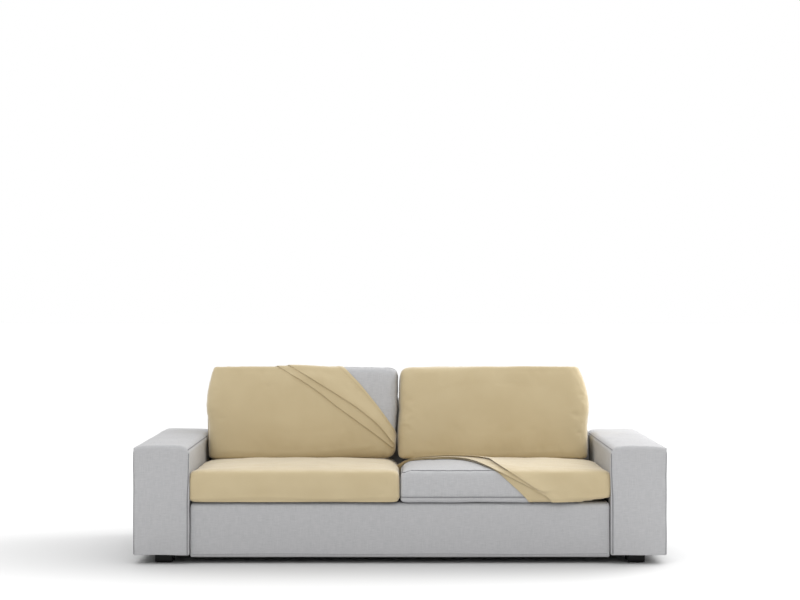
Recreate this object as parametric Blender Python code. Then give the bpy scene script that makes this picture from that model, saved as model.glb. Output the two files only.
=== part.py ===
"""Sofa slipcover set: four fitted stretch covers on the cushions of a plain three-seat sofa.

Two covers are fully on, over the left seat cushion and the right back cushion. The other two are
half pulled on: their surplus cloth lies in two long folds beside the hem, and bare cushion shows
past it. Metres, +Z up, X across the sofa, Y towards its back. The origin is on the floor, under
the middle of the sofa's bounding box.
"""

from dataclasses import dataclass

import bmesh
import bpy
import numpy as np

# ---------------------------------------------------------------- driving dimensions
SOFA_WIDTH = 2.28
SOFA_DEPTH = 0.95
CLEARANCE = 0.0003            # gap between pieces that touch

FOOT_SIDE = 0.075
FOOT_HEIGHT = 0.037
FOOT_X = 1.02                 # foot centres, across
FOOT_Y = 0.387                # foot centres, front to back

ARM_WIDTH = 0.24
ARM_HEIGHT = 0.510            # top of the arm's crown above the floor
ARM_CROWN = 0.011
ARM_INNER_RADIUS = 0.028
ARM_OUTER_RADIUS = 0.012
FRAME_EDGE = 0.006            # softened corners of the upholstered frame

DECK_HEIGHT = 0.262           # top of the base, under the seat cushions
BASE_BOTTOM = 0.028
BASE_FRONT = -0.470
BASE_LIP_RADIUS = 0.015
BACK_FRAME_HEIGHT = 0.66
BACK_FRAME_RADIUS = 0.03
SEAT_REAR = 0.314             # front face of the back frame, behind the seat cushions

CLOTH = 0.002                 # thickness of the stretch cloth
COVER_GAP = 0.0025            # between a cushion's free shape and the cloth over it
EDGE_SQUEEZE = 0.006          # how much further a cover presses its cushion in at the edges
LAYER_PITCH = 0.0036          # one layer to the next in a fold
FOLD_DEPTH = 0.012            # how far a fold's hidden layers reach back
ROOMY = 0.04                  # edges closer together than this make a fold shallower
REAR_GAP = 0.0014             # between the covered back cushions and the frame behind them
BACK_LEAN = np.radians(10.0)

BISECTIONS = 36               # steps in which a ray closes in on a surface
BASE_INSET = 0.85             # how far in a section's rays start, in half thicknesses
BASE_LIMIT = 0.3              # and at most this share of the section's length


@dataclass(frozen=True)
class Form:
    """A filled cushion's shape in its own axes: u across, v along, w out of its face."""

    centre: tuple             # world position of the widest section's middle
    lean: bool                # False: lies flat, w is up. True: stands, w looks to the front
    half_width: float
    half_length: float
    face: float               # half thickness towards the face
    rear: float               # half thickness away from the face
    powers: tuple             # how square it is: along, face side, rear side
    sides: tuple              # how square its left and right sides are, at the widest section
    crown_side: float         # how square both sides are near the top of the face
    squeeze: float            # how far a stretched cover presses it in
    draw: tuple = (0.0, 0.0)  # how far the left and right ears are drawn in
    tuck: tuple = (0.0, 0.0)  # how far the left and right lower sides are tucked in
    sag: float = 0.0          # how far the rear of the face is pressed down


SEAT_MID = 0.34
SEAT = dict(lean=False, half_width=0.4435, half_length=0.3815, face=0.085,
            rear=SEAT_MID - DECK_HEIGHT - CLEARANCE, powers=(14, 4, 9), sides=(24, 24),
            crown_side=7, squeeze=0.0027, sag=0.025)
SEAT_Y = -0.0745
BACK = dict(lean=True, half_length=0.199, face=0.112, rear=0.088, powers=(15, 3, 3),
            crown_side=12)
BACK_Y = 0.2585
BACK_Z = 0.6108

FORMS = {
    "seat_left": Form(centre=(-0.4495, SEAT_Y, SEAT_MID), **SEAT),
    "seat_right": Form(centre=(0.4495, SEAT_Y, SEAT_MID), **SEAT),
    "back_left": Form(centre=(-0.462, BACK_Y, BACK_Z), half_width=0.446, sides=(30, 14),
                      squeeze=0.002, draw=(0.026, 0.002), tuck=(0.014, 0.010), **BACK),
    "back_right": Form(centre=(0.439, BACK_Y, BACK_Z), half_width=0.437, sides=(14, 30),
                       squeeze=0.0015, draw=(0.006, 0.050), tuck=(0.010, 0.020), **BACK),
}


@dataclass(frozen=True)
class Edge:
    """A line that the cloth's sections follow: u = start + along * v + rise * w + bow * v * v."""

    start: float
    along: float = 0.0
    rise: float = 0.0
    bow: float = 0.0


def edge_place(edge, v, w):
    """U of an edge at v and w."""
    return edge.start + edge.along * v + edge.rise * w + edge.bow * v * v


def seat_edge(foot_x, shoulder_x, side_y):
    """Edge of a flat cut through the seat cushion, from where it meets three of its sides.

    foot_x and shoulder_x are on the front's lower and upper edge, side_y on the left side.
    """
    form = FORMS["seat_right"]
    front = -form.half_length
    foot_w, shoulder_w = DECK_HEIGHT - SEAT_MID, 0.07
    rise = (shoulder_x - foot_x) / (shoulder_w - foot_w)
    along = (0.0 - shoulder_x) / (side_y - form.centre[1] - front)
    start = shoulder_x - form.centre[0] - along * front - rise * shoulder_w
    return Edge(start, along, rise)


def back_edge(top_x, middle_x, low_x):
    """Edge of a bowed cut through the left back cushion, from its x at three heights."""
    form = FORMS["back_left"]
    high_v, middle_v, low_v = 0.198, 0.0355, -0.127
    span = high_v - low_v
    mean_slope = (top_x - low_x) / span
    bow = (top_x + low_x - 2 * middle_x) / (span * span / 2)
    along = mean_slope - 2 * bow * middle_v
    start = middle_x - form.centre[0] - along * middle_v - bow * middle_v ** 2
    return Edge(start, along, 0.0, bow)


# Where the hem and the two folds of each half-on cover run.
SEAT_EDGES = {
    "hem": seat_edge(foot_x=0.553, shoulder_x=0.403, side_y=0.050),
    "fold_1": seat_edge(foot_x=0.657, shoulder_x=0.447, side_y=0.072),
    "fold_2": seat_edge(foot_x=0.676, shoulder_x=0.473, side_y=0.095),
}
BACK_EDGES = {
    "fold_1": back_edge(top_x=-0.600, middle_x=-0.320, low_x=-0.095),
    "fold_2": back_edge(top_x=-0.513, middle_x=-0.232, low_x=-0.052),
    "hem": back_edge(top_x=-0.297, middle_x=-0.120, low_x=-0.018),
}

# Sections across a full cushion or cover, as shares of its half width.
FINE_ACROSS = (0.996, 0.98, 0.95, 0.90, 0.81, 0.66, 0.42, 0.14)
COARSE_ACROSS = (0.992, 0.95, 0.85, 0.60, 0.20)


# ---------------------------------------------------------------- shape of a cushion
def ease(value):
    """Smooth step from 0 to 1."""
    value = np.clip(value, 0.0, 1.0)
    return value * value * (3.0 - 2.0 * value)


def side_reach(form, v, side):
    """Half width at v towards one side (-1 left, +1 right), with its drawn ear and tuck."""
    right = side > 0
    draw = np.where(right, form.draw[1], form.draw[0])
    tuck = np.where(right, form.tuck[1], form.tuck[0])
    ear = np.clip((v - 0.02) / (form.half_length - 0.02), 0.0, 1.2) ** 2
    foot = ease((-0.01 - v) / 0.10)
    return form.half_width - draw * ear - tuck * foot


def face_reach(form, v):
    """Half thickness on the face side, pressed down towards the rear of a seat."""
    return form.face - form.sag * ease((v - 0.09) / 0.17)


def fullness(form, point, grow):
    """Below 1 inside the form grown by a distance, above 1 outside it."""
    u, v, w = point[..., 0], point[..., 1], point[..., 2]
    along, front, rear = form.powers
    reach_w = np.where(w >= 0, face_reach(form, v), form.rear) + grow
    power_w = np.where(w >= 0, front, rear)
    side = np.where(u < 0, form.sides[0], form.sides[1])
    power_u = side + (form.crown_side - side) * ease((w / form.face - 0.1) / 0.6)
    share_u = np.abs(u) / (side_reach(form, v, u) + grow)
    share_v = np.abs(v) / (form.half_length + grow)
    return share_u ** power_u + share_v ** along + (np.abs(w) / reach_w) ** power_w


def edge_share(form, point):
    """0 in the middle of a cushion's sides, 1 at its edges and more at its corners."""
    u, v, w = np.abs(point[..., 0]), np.abs(point[..., 1]), np.abs(point[..., 2])
    across = u / form.half_width
    along = v / form.half_length
    out = w / np.where(point[..., 2] >= 0, form.face, form.rear)
    return (across * along) ** 6 + (across * out) ** 6 + (along * out) ** 6


def cast(form, base, direction, grow):
    """Point where each ray from inside meets the form's surface grown by a distance."""
    low = np.zeros(base.shape[:-1])
    high = np.full(base.shape[:-1], 3.0)
    for _ in range(BISECTIONS):
        middle = (low + high) / 2
        inside = fullness(form, base + middle[..., None] * direction, grow) < 1.0
        low = np.where(inside, middle, low)
        high = np.where(inside, high, middle)
    return base + low[..., None] * direction


def to_world(form, point):
    """Points in a form's own axes, placed in the sofa."""
    u, v, w = point[..., 0], point[..., 1], point[..., 2]
    if not form.lean:
        return np.stack([u, v, w], axis=-1) + np.array(form.centre)
    sine, cosine = np.sin(BACK_LEAN), np.cos(BACK_LEAN)
    placed = np.stack([u, v * sine - w * cosine, v * cosine + w * sine], axis=-1)
    return placed + np.array(form.centre)


# ---------------------------------------------------------------- stations round a section
@dataclass(frozen=True)
class Station:
    """One ray of a section: where its base is along the section, and which way it looks."""

    share: float              # -1 at the low end of the section, +1 at its high end
    angle: float              # 0 looks along the section outwards, 90 to the face
    drop: float = 0.0         # how far its base is lowered, as a share of the rear thickness


WRAP = (78.0, 56.0, 34.0, 12.0)
UNDER = (0.30, 0.62, 0.84, 0.95)


def stations(rows, wrap, mouth=None):
    """Stations round a section, each one mirrored by the station as far from the list's end.

    A closed loop has no mouth. With mouth "rear" the cloth is open behind, past both its ends.
    With mouth "low" it has a slot at the low end.
    """
    row = np.linspace(-1.0, 1.0, rows)
    face = [Station(share, 90.0) for share in row]
    behind = [Station(share, -90.0) for share in row[::-1]]
    upper = [Station(1.0, angle) for angle in wrap]
    lower = [Station(1.0, -angle) for angle in wrap[::-1]]
    low_upper = [Station(-1.0, angle) for angle in wrap[::-1]]
    low_lower = [Station(-1.0, -angle) for angle in wrap]
    if mouth == "rear":
        under = [Station(1.0, 0.0, drop) for drop in UNDER]
        low_under = [Station(-1.0, 0.0, drop) for drop in UNDER[::-1]]
        return low_under + low_upper + face + upper + under
    if mouth == "low":
        return low_upper[1:] + face + upper + lower + behind + low_lower[:-1]
    return low_upper + face + upper + lower + behind + low_lower


def section_points(form, line, ring, across, height):
    """Surface points of one section: line holds its stations, ring gives u from v, w and grow.

    across shifts each station's section along u, and height is its distance off the form.
    """
    share = np.array([station.share for station in line])
    angle = np.radians([station.angle for station in line])
    start = np.stack([ring(0.0 * share, 0.0, height) + across, 0.0 * share, 0.0 * share], axis=-1)
    down = np.array([ring(0.0, -form.rear, 0.0) - ring(0.0, 0.0, 0.0), 0.0, -form.rear])
    depth = cast(form, start, down + 0.0 * start, height)[:, 2] + height
    base_w = depth * np.array([station.drop for station in line])
    reach = form.half_length + height
    ends = []
    for side in (-1.0, 1.0):
        low = np.zeros(len(line))
        high = np.full(len(line), 1.2) * reach
        for _ in range(BISECTIONS):
            middle = (low + high) / 2
            v = side * middle
            point = np.stack([ring(v, base_w, height) + across, v, base_w], axis=-1)
            inside = fullness(form, point, height) < 1.0
            low = np.where(inside, middle, low)
            high = np.where(inside, high, middle)
        ends.append(side * low)
    inset = np.minimum(BASE_INSET * min(form.face, form.rear), BASE_LIMIT * (ends[1] - ends[0]))
    low_v, high_v = ends[0] + inset, ends[1] - inset
    base_v = low_v + (high_v - low_v) * (share + 1.0) / 2
    base = np.stack([ring(base_v, base_w, height) + across, base_v, base_w], axis=-1)
    step = 0.001
    slope = (ring(base_v + step, base_w, height) - ring(base_v - step, base_w, height)) / step / 2
    rise = (ring(base_v, base_w + step, height) - ring(base_v, base_w - step, height)) / step / 2
    outwards = np.where(share > 0, 1.0, -1.0) * np.cos(angle) * inset
    upwards = np.sin(angle) * inset
    direction = np.stack([slope * outwards + rise * upwards, outwards, upwards], axis=-1)
    return cast(form, base, direction, height)


# ---------------------------------------------------------------- meshes
def add_object(name, mesh_points, faces, material, smooth=True):
    """Make one named object of a closed mesh, its faces pointing out."""
    mesh = bpy.data.meshes.new(name)
    mesh.from_pydata([tuple(point) for point in mesh_points], [], faces)
    body = bmesh.new()
    body.from_mesh(mesh)
    bmesh.ops.recalc_face_normals(body, faces=body.faces[:])
    if body.calc_volume(signed=True) < 0:
        bmesh.ops.reverse_faces(body, faces=body.faces[:])
    body.to_mesh(mesh)
    body.free()
    if smooth:
        mesh.shade_smooth()
        mesh.set_sharp_from_angle(angle=np.radians(50.0))
    item = bpy.data.objects.new(name, mesh)
    bpy.context.scene.collection.objects.link(item)
    mesh.materials.append(material)
    return item


def loft_faces(ring_count, station_count, closed, offset=0):
    """Quads between neighbouring rings, with point numbers from offset."""
    faces = []
    last = station_count if closed else station_count - 1
    for ring in range(ring_count - 1):
        for station in range(last):
            after = (station + 1) % station_count
            low, high = offset + ring * station_count, offset + (ring + 1) * station_count
            faces.append((low + station, low + after, high + after, high + station))
    return faces


def ladder_faces(start, station_count):
    """Quads that close a ring across, each station joined to its mirror."""
    faces = []
    for station in range((station_count - 1) // 2):
        mirror = station_count - 1 - station
        rung = (start + station, start + station + 1, start + mirror - 1, start + mirror)
        faces.append(tuple(dict.fromkeys(rung)))
    return faces


def add_filled(name, rings, material):
    """One solid from closed rings of points, both its ends closed across."""
    count = rings.shape[1]
    faces = loft_faces(len(rings), count, closed=True)
    faces += ladder_faces(0, count)
    faces += ladder_faces((len(rings) - 1) * count, count)
    return add_object(name, rings.reshape(-1, 3), faces, material)


def add_sheet(name, outer, inner, closed, caps, material):
    """One sheet of cloth from its outer and inner rings.

    caps says whether the first and the last ring are closed across; an end that isn't is a hem.
    """
    rings, count = outer.shape[:2]
    offset = rings * count
    faces = loft_faces(rings, count, closed) + loft_faces(rings, count, closed, offset)
    for ring, capped in ((0, caps[0]), (rings - 1, caps[1])):
        start = ring * count
        if capped:
            faces += ladder_faces(start, count) + ladder_faces(start + offset, count)
        last = count if closed else count - 1
        for station in range(0 if capped else last):
            after = start + (station + 1) % count
            faces.append((start + station, after, after + offset, start + station + offset))
    if not closed:
        for station in (0, count - 1):
            for ring in range(rings - 1):
                low, high = ring * count + station, (ring + 1) * count + station
                faces.append((low, high, high + offset, low + offset))
        for ring, capped in ((0, caps[0]), (rings - 1, caps[1])):
            if capped:
                first, last = ring * count, ring * count + count - 1
                faces.append((first, last, last + offset, first + offset))
    points = np.concatenate([outer.reshape(-1, 3), inner.reshape(-1, 3)])
    return add_object(name, points, faces, material)


def principled(name, colour, roughness, metallic=0.0):
    """A Principled material with a linear base colour."""
    material = bpy.data.materials.new(name)
    material.use_nodes = True
    shader = material.node_tree.nodes["Principled BSDF"]
    shader.inputs["Base Color"].default_value = (*colour, 1.0)
    shader.inputs["Roughness"].default_value = roughness
    shader.inputs["Metallic"].default_value = metallic
    material.diffuse_color = (*colour, 1.0)
    return material


# ---------------------------------------------------------------- cushions and full covers
def wall_ring(form, share):
    """A section that follows the cushion's side at a signed share of its half width."""
    side = np.sign(share)

    def ring(v, w, grow):
        return share * (side_reach(form, v, side) + grow)

    return ring


def add_cushion(name, form, across, line, material, hem=None):
    """A filled cushion, from closed sections across its width.

    A stretched cover presses it in, everywhere or on one side of a hem: hem is the hem's edge
    and the side of it that is covered. The underside of a cushion that lies flat stays on its
    deck.
    """
    shares = [-share for share in across] + list(across[::-1])
    still = np.zeros(len(line))
    under = np.array([station.angle <= -90.0 and not form.lean for station in line])
    rings = []
    for share in shares:
        ring = wall_ring(form, share)
        free = section_points(form, line, ring, still, still)
        covered = 1.0
        if hem:
            edge, covered_side = hem
            past = (free[:, 0] - edge_place(edge, free[:, 1], free[:, 2])) * covered_side
            covered = ease((past - 0.005) / 0.03)
        pressed = -covered * (form.squeeze + EDGE_SQUEEZE * edge_share(form, free))
        pressed = np.where(under, 0.0, pressed)
        rings.append(section_points(form, line, ring, still, pressed))
    return add_filled(name, to_world(form, np.array(rings)), material)


def ripple(u, v, waves):
    """Uneven lie of stretched cloth: rows of (height, turns across, turns along, start)."""
    total = 0.0 * u
    for height, across, along, start in waves:
        total = total + height * np.sin(2 * np.pi * (across * u + along * v) + start)
    return total


SEAT_WAVES = ((0.0008, 1.3, 0.9, 0.4), (0.0005, 3.1, -2.2, 1.9))
BACK_WAVES = ((0.0009, 1.1, -1.6, 2.2), (0.0005, 2.7, 2.4, 0.3))


def add_full_cover(name, form, line, waves, material):
    """A cover that is fully on, with its mouth out of sight under or below the cushion."""
    shares = [-share for share in FINE_ACROSS] + list(FINE_ACROSS[::-1])
    share_along = np.array([station.share for station in line])
    shells = []
    for depth in (COVER_GAP + CLOTH, COVER_GAP):
        rings = []
        for share in shares:
            lie = ripple(share * form.half_width, share_along * form.half_length, waves)
            ring = wall_ring(form, share)
            rings.append(section_points(form, line, ring, 0.0 * lie, depth + lie))
        shells.append(to_world(form, np.array(rings)))
    return add_sheet(name, shells[0], shells[1], False, (True, True), material)


# ---------------------------------------------------------------- half-on covers
@dataclass(frozen=True)
class Row:
    """One section of a half-on cover, in travel order from its left end to its right."""

    first: str                # edge that it starts from, "wall" for the cushion's closed side
    second: str               # edge that it is blended towards
    blend: float              # 0 on the first edge, 1 on the second
    shift: float = 0.0        # fold layer: distance past the edge with the fold lying over
    ramp: float = 0.0         # the same with the fold drawn out flat
    level: float = 0.0        # layers above the last whole level
    folds: int = 0            # whole folds passed on the way here
    settle: float = 1.0       # share of the stack's height that is left


def fold_rows(edge, passed):
    """The sections of one fold, lying back over itself: down, back and over again."""
    deep = FOLD_DEPTH
    table = (
        # shift   ramp     level
        (-0.010, -0.016, 0.0),
        (deep, -0.008, 0.0),
        (deep, -0.004, 1.0),
        (0.002, 0.000, 1.0),
        (0.000, 0.003, 1.5),
        (0.003, 0.007, 2.0),
    )
    return [Row(edge, edge, 0.0, shift, ramp, level, passed) for shift, ramp, level in table]


def half_cover_points(form, line, edges, side, rows, waves, drawn, slant):
    """Outer and inner rings of a half-on cover.

    side is the closed side (-1 left, +1 right). drawn gives, for each edge with a fold, how far
    the fold is open at each station, from 0, flat, to 1. slant is the cosine between u and the
    way across a fold.
    """
    wall = 0.996 * side

    def edge_u(name, v, w, grow):
        if name == "wall":
            return wall * (side_reach(form, v, side) + grow)
        return edge_place(edges[name], v, w)

    def ring_of(row):
        def ring(v, w, grow):
            first = edge_u(row.first, v, w, grow)
            return first + (edge_u(row.second, v, w, grow) - first) * row.blend
        return ring

    folds = [name for name in edges if name != "hem"]
    along = np.array([station.share for station in line]) * form.half_length
    places = [edge_place(edge, along, 0.0) * slant for edge in edges.values()]
    room = np.clip(np.min(np.diff(places, axis=0), axis=0) / ROOMY, 0.1, 1.0)
    shift = np.zeros((len(rows), len(line)))
    height = np.zeros((len(rows), len(line)))
    travel = np.zeros((len(rows), len(line)))
    for number, row in enumerate(rows):
        passed = sum(2.0 * ease(2.0 * drawn[name]) for name in folds[:row.folds])
        passed = passed + np.zeros(len(line))
        if row.first in folds and row.first == row.second:
            lying = ease(2.0 * drawn[row.first] - 1.0)
            shift[number] = (row.ramp + (row.shift - row.ramp) * lying) * room / slant
            passed = passed + row.level * ease(2.0 * drawn[row.first])
        place = ring_of(row)(along, 0.0, 0.0) + shift[number]
        height[number] = COVER_GAP + CLOTH / 2 + LAYER_PITCH * passed * row.settle
        height[number] += ripple(place, along, waves)
        travel[number] = place * slant
    step = np.stack([np.diff(travel, axis=0), np.diff(height, axis=0)], axis=-1)
    step /= np.linalg.norm(step, axis=-1, keepdims=True)
    before = np.concatenate([step[:1], step])
    after = np.concatenate([step, step[-1:]])
    mitre = before + after
    length = np.maximum(np.linalg.norm(mitre, axis=-1, keepdims=True), 1.2)
    mitre = mitre / length ** 2 * 2.0
    shells = []
    for half in (CLOTH / 2, -CLOTH / 2):
        rings = []
        for number, row in enumerate(rows):
            across = shift[number] - mitre[number, :, 1] * half / slant
            off = height[number] + mitre[number, :, 0] * half
            rings.append(section_points(form, line, ring_of(row), across, off))
        shells.append(to_world(form, np.array(rings)))
    return shells


def plain_rows(first, second, folds, table):
    """Sections between two edges, from rows of (blend, share of the stack's height left)."""
    return [Row(first, second, blend, folds=folds, settle=settle) for blend, settle in table]


def add_half_seat_cover(material):
    """The right seat's cover, pulled on from the right: hem, two folds, then the fitted part."""
    form = FORMS["seat_right"]
    line = stations(rows=13, wrap=WRAP, mouth="rear")
    rows = plain_rows("hem", "fold_1", 0, ((0.0, 1.0), (0.4, 1.0)))
    rows += fold_rows("fold_1", 0)
    rows += fold_rows("fold_2", 1)
    body = ((0.05, 0.85), (0.11, 0.60), (0.17, 0.38), (0.24, 0.20), (0.36, 0.06), (0.55, 0.0),
            (0.72, 0.0), (0.85, 0.0), (0.93, 0.0), (0.975, 0.0), (1.0, 0.0))
    rows += plain_rows("fold_2", "wall", 2, body)
    share = np.array([station.share for station in line])
    upright = np.array([station.angle - 90.0 * station.drop for station in line])
    near_side = ease((0.98 - share) / 0.35)
    fold_1_foot = np.where(share > -0.99, 1.0, ease((upright + 85.0) / 35.0))
    fold_2_foot = np.where(share > -0.99, 1.0, ease((upright + 50.0) / 100.0))
    drawn = {"fold_1": near_side * fold_1_foot, "fold_2": near_side * fold_2_foot}
    outer, inner = half_cover_points(form, line, SEAT_EDGES, 1.0, rows, SEAT_WAVES, drawn, 0.75)
    return add_sheet("seat_cover_right", outer, inner, False, (False, True), material)


def add_half_back_cover(material):
    """The left back cover, pulled on from the left: fitted part, two folds, then the hem."""
    form = FORMS["back_left"]
    line = stations(rows=11, wrap=WRAP)
    body = ((0.0, 0.0), (0.02, 0.0), (0.06, 0.0), (0.13, 0.0), (0.25, 0.0), (0.42, 0.0),
            (0.60, 0.0), (0.76, 0.0), (0.88, 0.0))
    rows = plain_rows("wall", "fold_1", 0, body)
    rows += fold_rows("fold_1", 0)
    rows += plain_rows("fold_1", "fold_2", 1, ((0.5, 0.95),))
    rows += fold_rows("fold_2", 1)
    band = ((0.22, 0.85), (0.45, 0.55), (0.7, 0.25), (0.9, 0.06), (1.0, 0.0))
    rows += plain_rows("fold_2", "hem", 2, band)
    angle = np.array([station.angle for station in line])
    share = np.array([station.share for station in line])
    low_end = np.where(share <= -0.99, ease((angle - 20.0) / 60.0), 1.0)
    high_end = np.where(share >= 0.99, ease((angle - 35.0) / 60.0), ease(angle / 45.0))
    facing = np.where(share <= -0.99, 1.0, high_end) * low_end
    drawn = {"fold_1": facing, "fold_2": facing}
    outer, inner = half_cover_points(form, line, BACK_EDGES, -1.0, rows, BACK_WAVES, drawn, 0.62)
    return add_sheet("back_cover_left", outer, inner, True, (True, False), material)


# ---------------------------------------------------------------- the sofa's frame
def arc(centre, radius, start, end, steps):
    """Points of an arc in a section, angles in degrees."""
    angles = np.radians(np.linspace(start, end, steps))
    return [(centre[0] + radius * np.cos(a), centre[1] + radius * np.sin(a)) for a in angles]


def shrink(outline, amount):
    """An outline drawn in towards the middle of its box by the same distance on each side."""
    outline = np.array(outline)
    middle = (outline.max(axis=0) + outline.min(axis=0)) / 2
    half = (outline.max(axis=0) - outline.min(axis=0)) / 2
    return middle + (outline - middle) * (1.0 - amount / half)


def add_prism(name, outline, low, high, axis, material):
    """An outline of (a, b) points run along X or Y, its end edges softened."""
    rings = []
    for place, inset in ((low, FRAME_EDGE), (low + FRAME_EDGE * 0.3, FRAME_EDGE * 0.3),
                         (low + FRAME_EDGE, 0.0), (high - FRAME_EDGE, 0.0),
                         (high - FRAME_EDGE * 0.3, FRAME_EDGE * 0.3), (high, FRAME_EDGE)):
        section = shrink(outline, inset)
        place_row = np.full(len(section), place)
        if axis == "X":
            rings.append(np.stack([place_row, section[:, 0], section[:, 1]], axis=-1))
        else:
            rings.append(np.stack([section[:, 0], place_row, section[:, 1]], axis=-1))
    rings = np.array(rings)
    count = rings.shape[1]
    faces = loft_faces(len(rings), count, closed=True)
    faces.append(tuple(range(count)))
    faces.append(tuple(range((len(rings) - 1) * count, len(rings) * count)))
    return add_object(name, rings.reshape(-1, 3), faces, material)


def arm_outline():
    """Section of the right arm in X and Z: soft inner edge, crisper outer edge, low crown."""
    inner = SOFA_WIDTH / 2 - ARM_WIDTH
    outer = SOFA_WIDTH / 2
    bottom = FOOT_HEIGHT + CLEARANCE
    shoulder = ARM_HEIGHT - ARM_CROWN
    outer_arc = arc((outer - ARM_OUTER_RADIUS, shoulder - ARM_OUTER_RADIUS), ARM_OUTER_RADIUS,
                    0, 80, 4)
    inner_arc = arc((inner + ARM_INNER_RADIUS, shoulder - ARM_INNER_RADIUS), ARM_INNER_RADIUS,
                    100, 180, 5)
    width = outer - inner - ARM_OUTER_RADIUS - ARM_INNER_RADIUS
    crown = []
    for share in (0.15, 0.32, 0.5, 0.68, 0.85):
        crown.append((outer - ARM_OUTER_RADIUS - share * width,
                      shoulder + ARM_CROWN * (1.0 - (2.0 * share - 1.0) ** 2)))
    return [(outer, bottom)] + outer_arc + crown + inner_arc + [(inner, bottom)]


def add_arms(material):
    """Both arms, mirror images of each other."""
    half = SOFA_DEPTH / 2
    right = np.array(arm_outline())
    left = right * np.array([-1.0, 1.0])
    add_prism("arm_right", right, -half, half, "Y", material)
    add_prism("arm_left", left, -half, half, "Y", material)


def add_base(material):
    """The rail and deck under the seat cushions, between the arms."""
    reach = SOFA_WIDTH / 2 - ARM_WIDTH - CLEARANCE
    rear = SEAT_REAR - CLEARANCE
    lip = arc((BASE_FRONT + BASE_LIP_RADIUS, DECK_HEIGHT - BASE_LIP_RADIUS), BASE_LIP_RADIUS,
              180, 90, 5)
    outline = [(BASE_FRONT, BASE_BOTTOM)] + lip + [(rear, DECK_HEIGHT), (rear, BASE_BOTTOM)]
    add_prism("seat_base", outline, -reach, reach, "X", material)


def rear_plane_y(z):
    """Y of the leaning plane that the covered back cushions rest against, at a height."""
    depth = BACK["rear"] + COVER_GAP + CLOTH + REAR_GAP
    sine, cosine = np.sin(BACK_LEAN), np.cos(BACK_LEAN)
    foot_y = BACK_Y + depth * cosine
    foot_z = BACK_Z - depth * sine
    return foot_y + (z - foot_z) * sine / cosine


def add_back_frame(material):
    """The upholstered frame behind the cushions: upright below the seat, leaning above it."""
    reach = SOFA_WIDTH / 2 - ARM_WIDTH - CLEARANCE
    rear = SOFA_DEPTH / 2
    sine, cosine = np.sin(BACK_LEAN), np.cos(BACK_LEAN)
    turn_z = (SEAT_REAR - rear_plane_y(0.0)) / (sine / cosine)
    shoulder_z = BACK_FRAME_HEIGHT - BACK_FRAME_RADIUS
    top_y = rear_plane_y(shoulder_z + BACK_FRAME_RADIUS * sine)
    front_arc = arc((top_y + BACK_FRAME_RADIUS * cosine, shoulder_z), BACK_FRAME_RADIUS,
                    180 - np.degrees(BACK_LEAN), 90, 5)
    rear_arc = arc((rear - BACK_FRAME_RADIUS, shoulder_z), BACK_FRAME_RADIUS, 90, 0, 5)
    outline = [(SEAT_REAR, BASE_BOTTOM), (SEAT_REAR, turn_z)] + front_arc + rear_arc
    outline.append((rear, BASE_BOTTOM))
    add_prism("back_frame", outline, -reach, reach, "X", material)


def add_feet(material):
    """Four square block feet under the arms."""
    bevel = 0.003
    half = FOOT_SIDE / 2
    for row, y in (("front", -FOOT_Y), ("rear", FOOT_Y)):
        for side, x in (("left", -FOOT_X), ("right", FOOT_X)):
            rings = []
            for z, inset in ((0.0, bevel), (bevel, 0.0), (FOOT_HEIGHT, 0.0)):
                reach = half - inset
                rings.append([(x - reach, y - reach, z), (x + reach, y - reach, z),
                              (x + reach, y + reach, z), (x - reach, y + reach, z)])
            points = np.array(rings).reshape(-1, 3)
            faces = loft_faces(3, 4, closed=True) + [(0, 1, 2, 3), (8, 9, 10, 11)]
            add_object(f"foot_{row}_{side}", points, faces, material, smooth=False)


# ---------------------------------------------------------------- the whole part
def build():
    """Clear the scene and build every piece."""
    for item in list(bpy.data.objects):
        bpy.data.objects.remove(item)
    tan_cloth = principled("tan_stretch_cloth", (0.52, 0.42, 0.28), 0.9)
    grey_cloth = principled("grey_upholstery", (0.47, 0.47, 0.47), 0.95)
    frame_cloth = principled("grey_frame_upholstery", (0.44, 0.44, 0.44), 0.95)
    foot_black = principled("black_foot", (0.008, 0.008, 0.008), 0.4)

    add_arms(frame_cloth)
    add_base(frame_cloth)
    add_back_frame(frame_cloth)
    add_feet(foot_black)

    fine = stations(rows=9, wrap=WRAP)
    coarse = stations(rows=6, wrap=(60.0, 20.0))
    add_cushion("seat_cushion_right", FORMS["seat_right"], FINE_ACROSS, fine, grey_cloth,
                hem=(SEAT_EDGES["hem"], 1.0))
    add_cushion("back_cushion_left", FORMS["back_left"], FINE_ACROSS, fine, grey_cloth,
                hem=(BACK_EDGES["hem"], -1.0))
    add_cushion("seat_cushion_left", FORMS["seat_left"], COARSE_ACROSS, coarse, grey_cloth)
    add_cushion("back_cushion_right", FORMS["back_right"], COARSE_ACROSS, coarse, grey_cloth)

    seat_line = stations(rows=11, wrap=WRAP, mouth="rear")
    add_full_cover("seat_cover_left", FORMS["seat_left"], seat_line, SEAT_WAVES, tan_cloth)
    back_line = stations(rows=8, wrap=WRAP, mouth="low")
    add_full_cover("back_cover_right", FORMS["back_right"], back_line, BACK_WAVES, tan_cloth)
    add_half_seat_cover(tan_cloth)
    add_half_back_cover(tan_cloth)


build()
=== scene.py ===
"""Looks of a sofa slipcover set: four stretch covers on the cushions of a plain three-seat sofa.

Two covers are fully on, two are half pulled on with their surplus cloth in folds beside the hem.
Metres, +Z up, X across the sofa, Y towards its back, the floor at Z = 0. Every piece is built in
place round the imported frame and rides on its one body.
"""

from __future__ import annotations

import logging
import math
from dataclasses import dataclass, field
from enum import Enum
from functools import cached_property
from typing import Any, Callable, Sequence

import bmesh
import bpy
import numpy as np
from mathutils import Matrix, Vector
from mathutils.bvhtree import BVHTree
from mathutils.kdtree import KDTree


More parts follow.
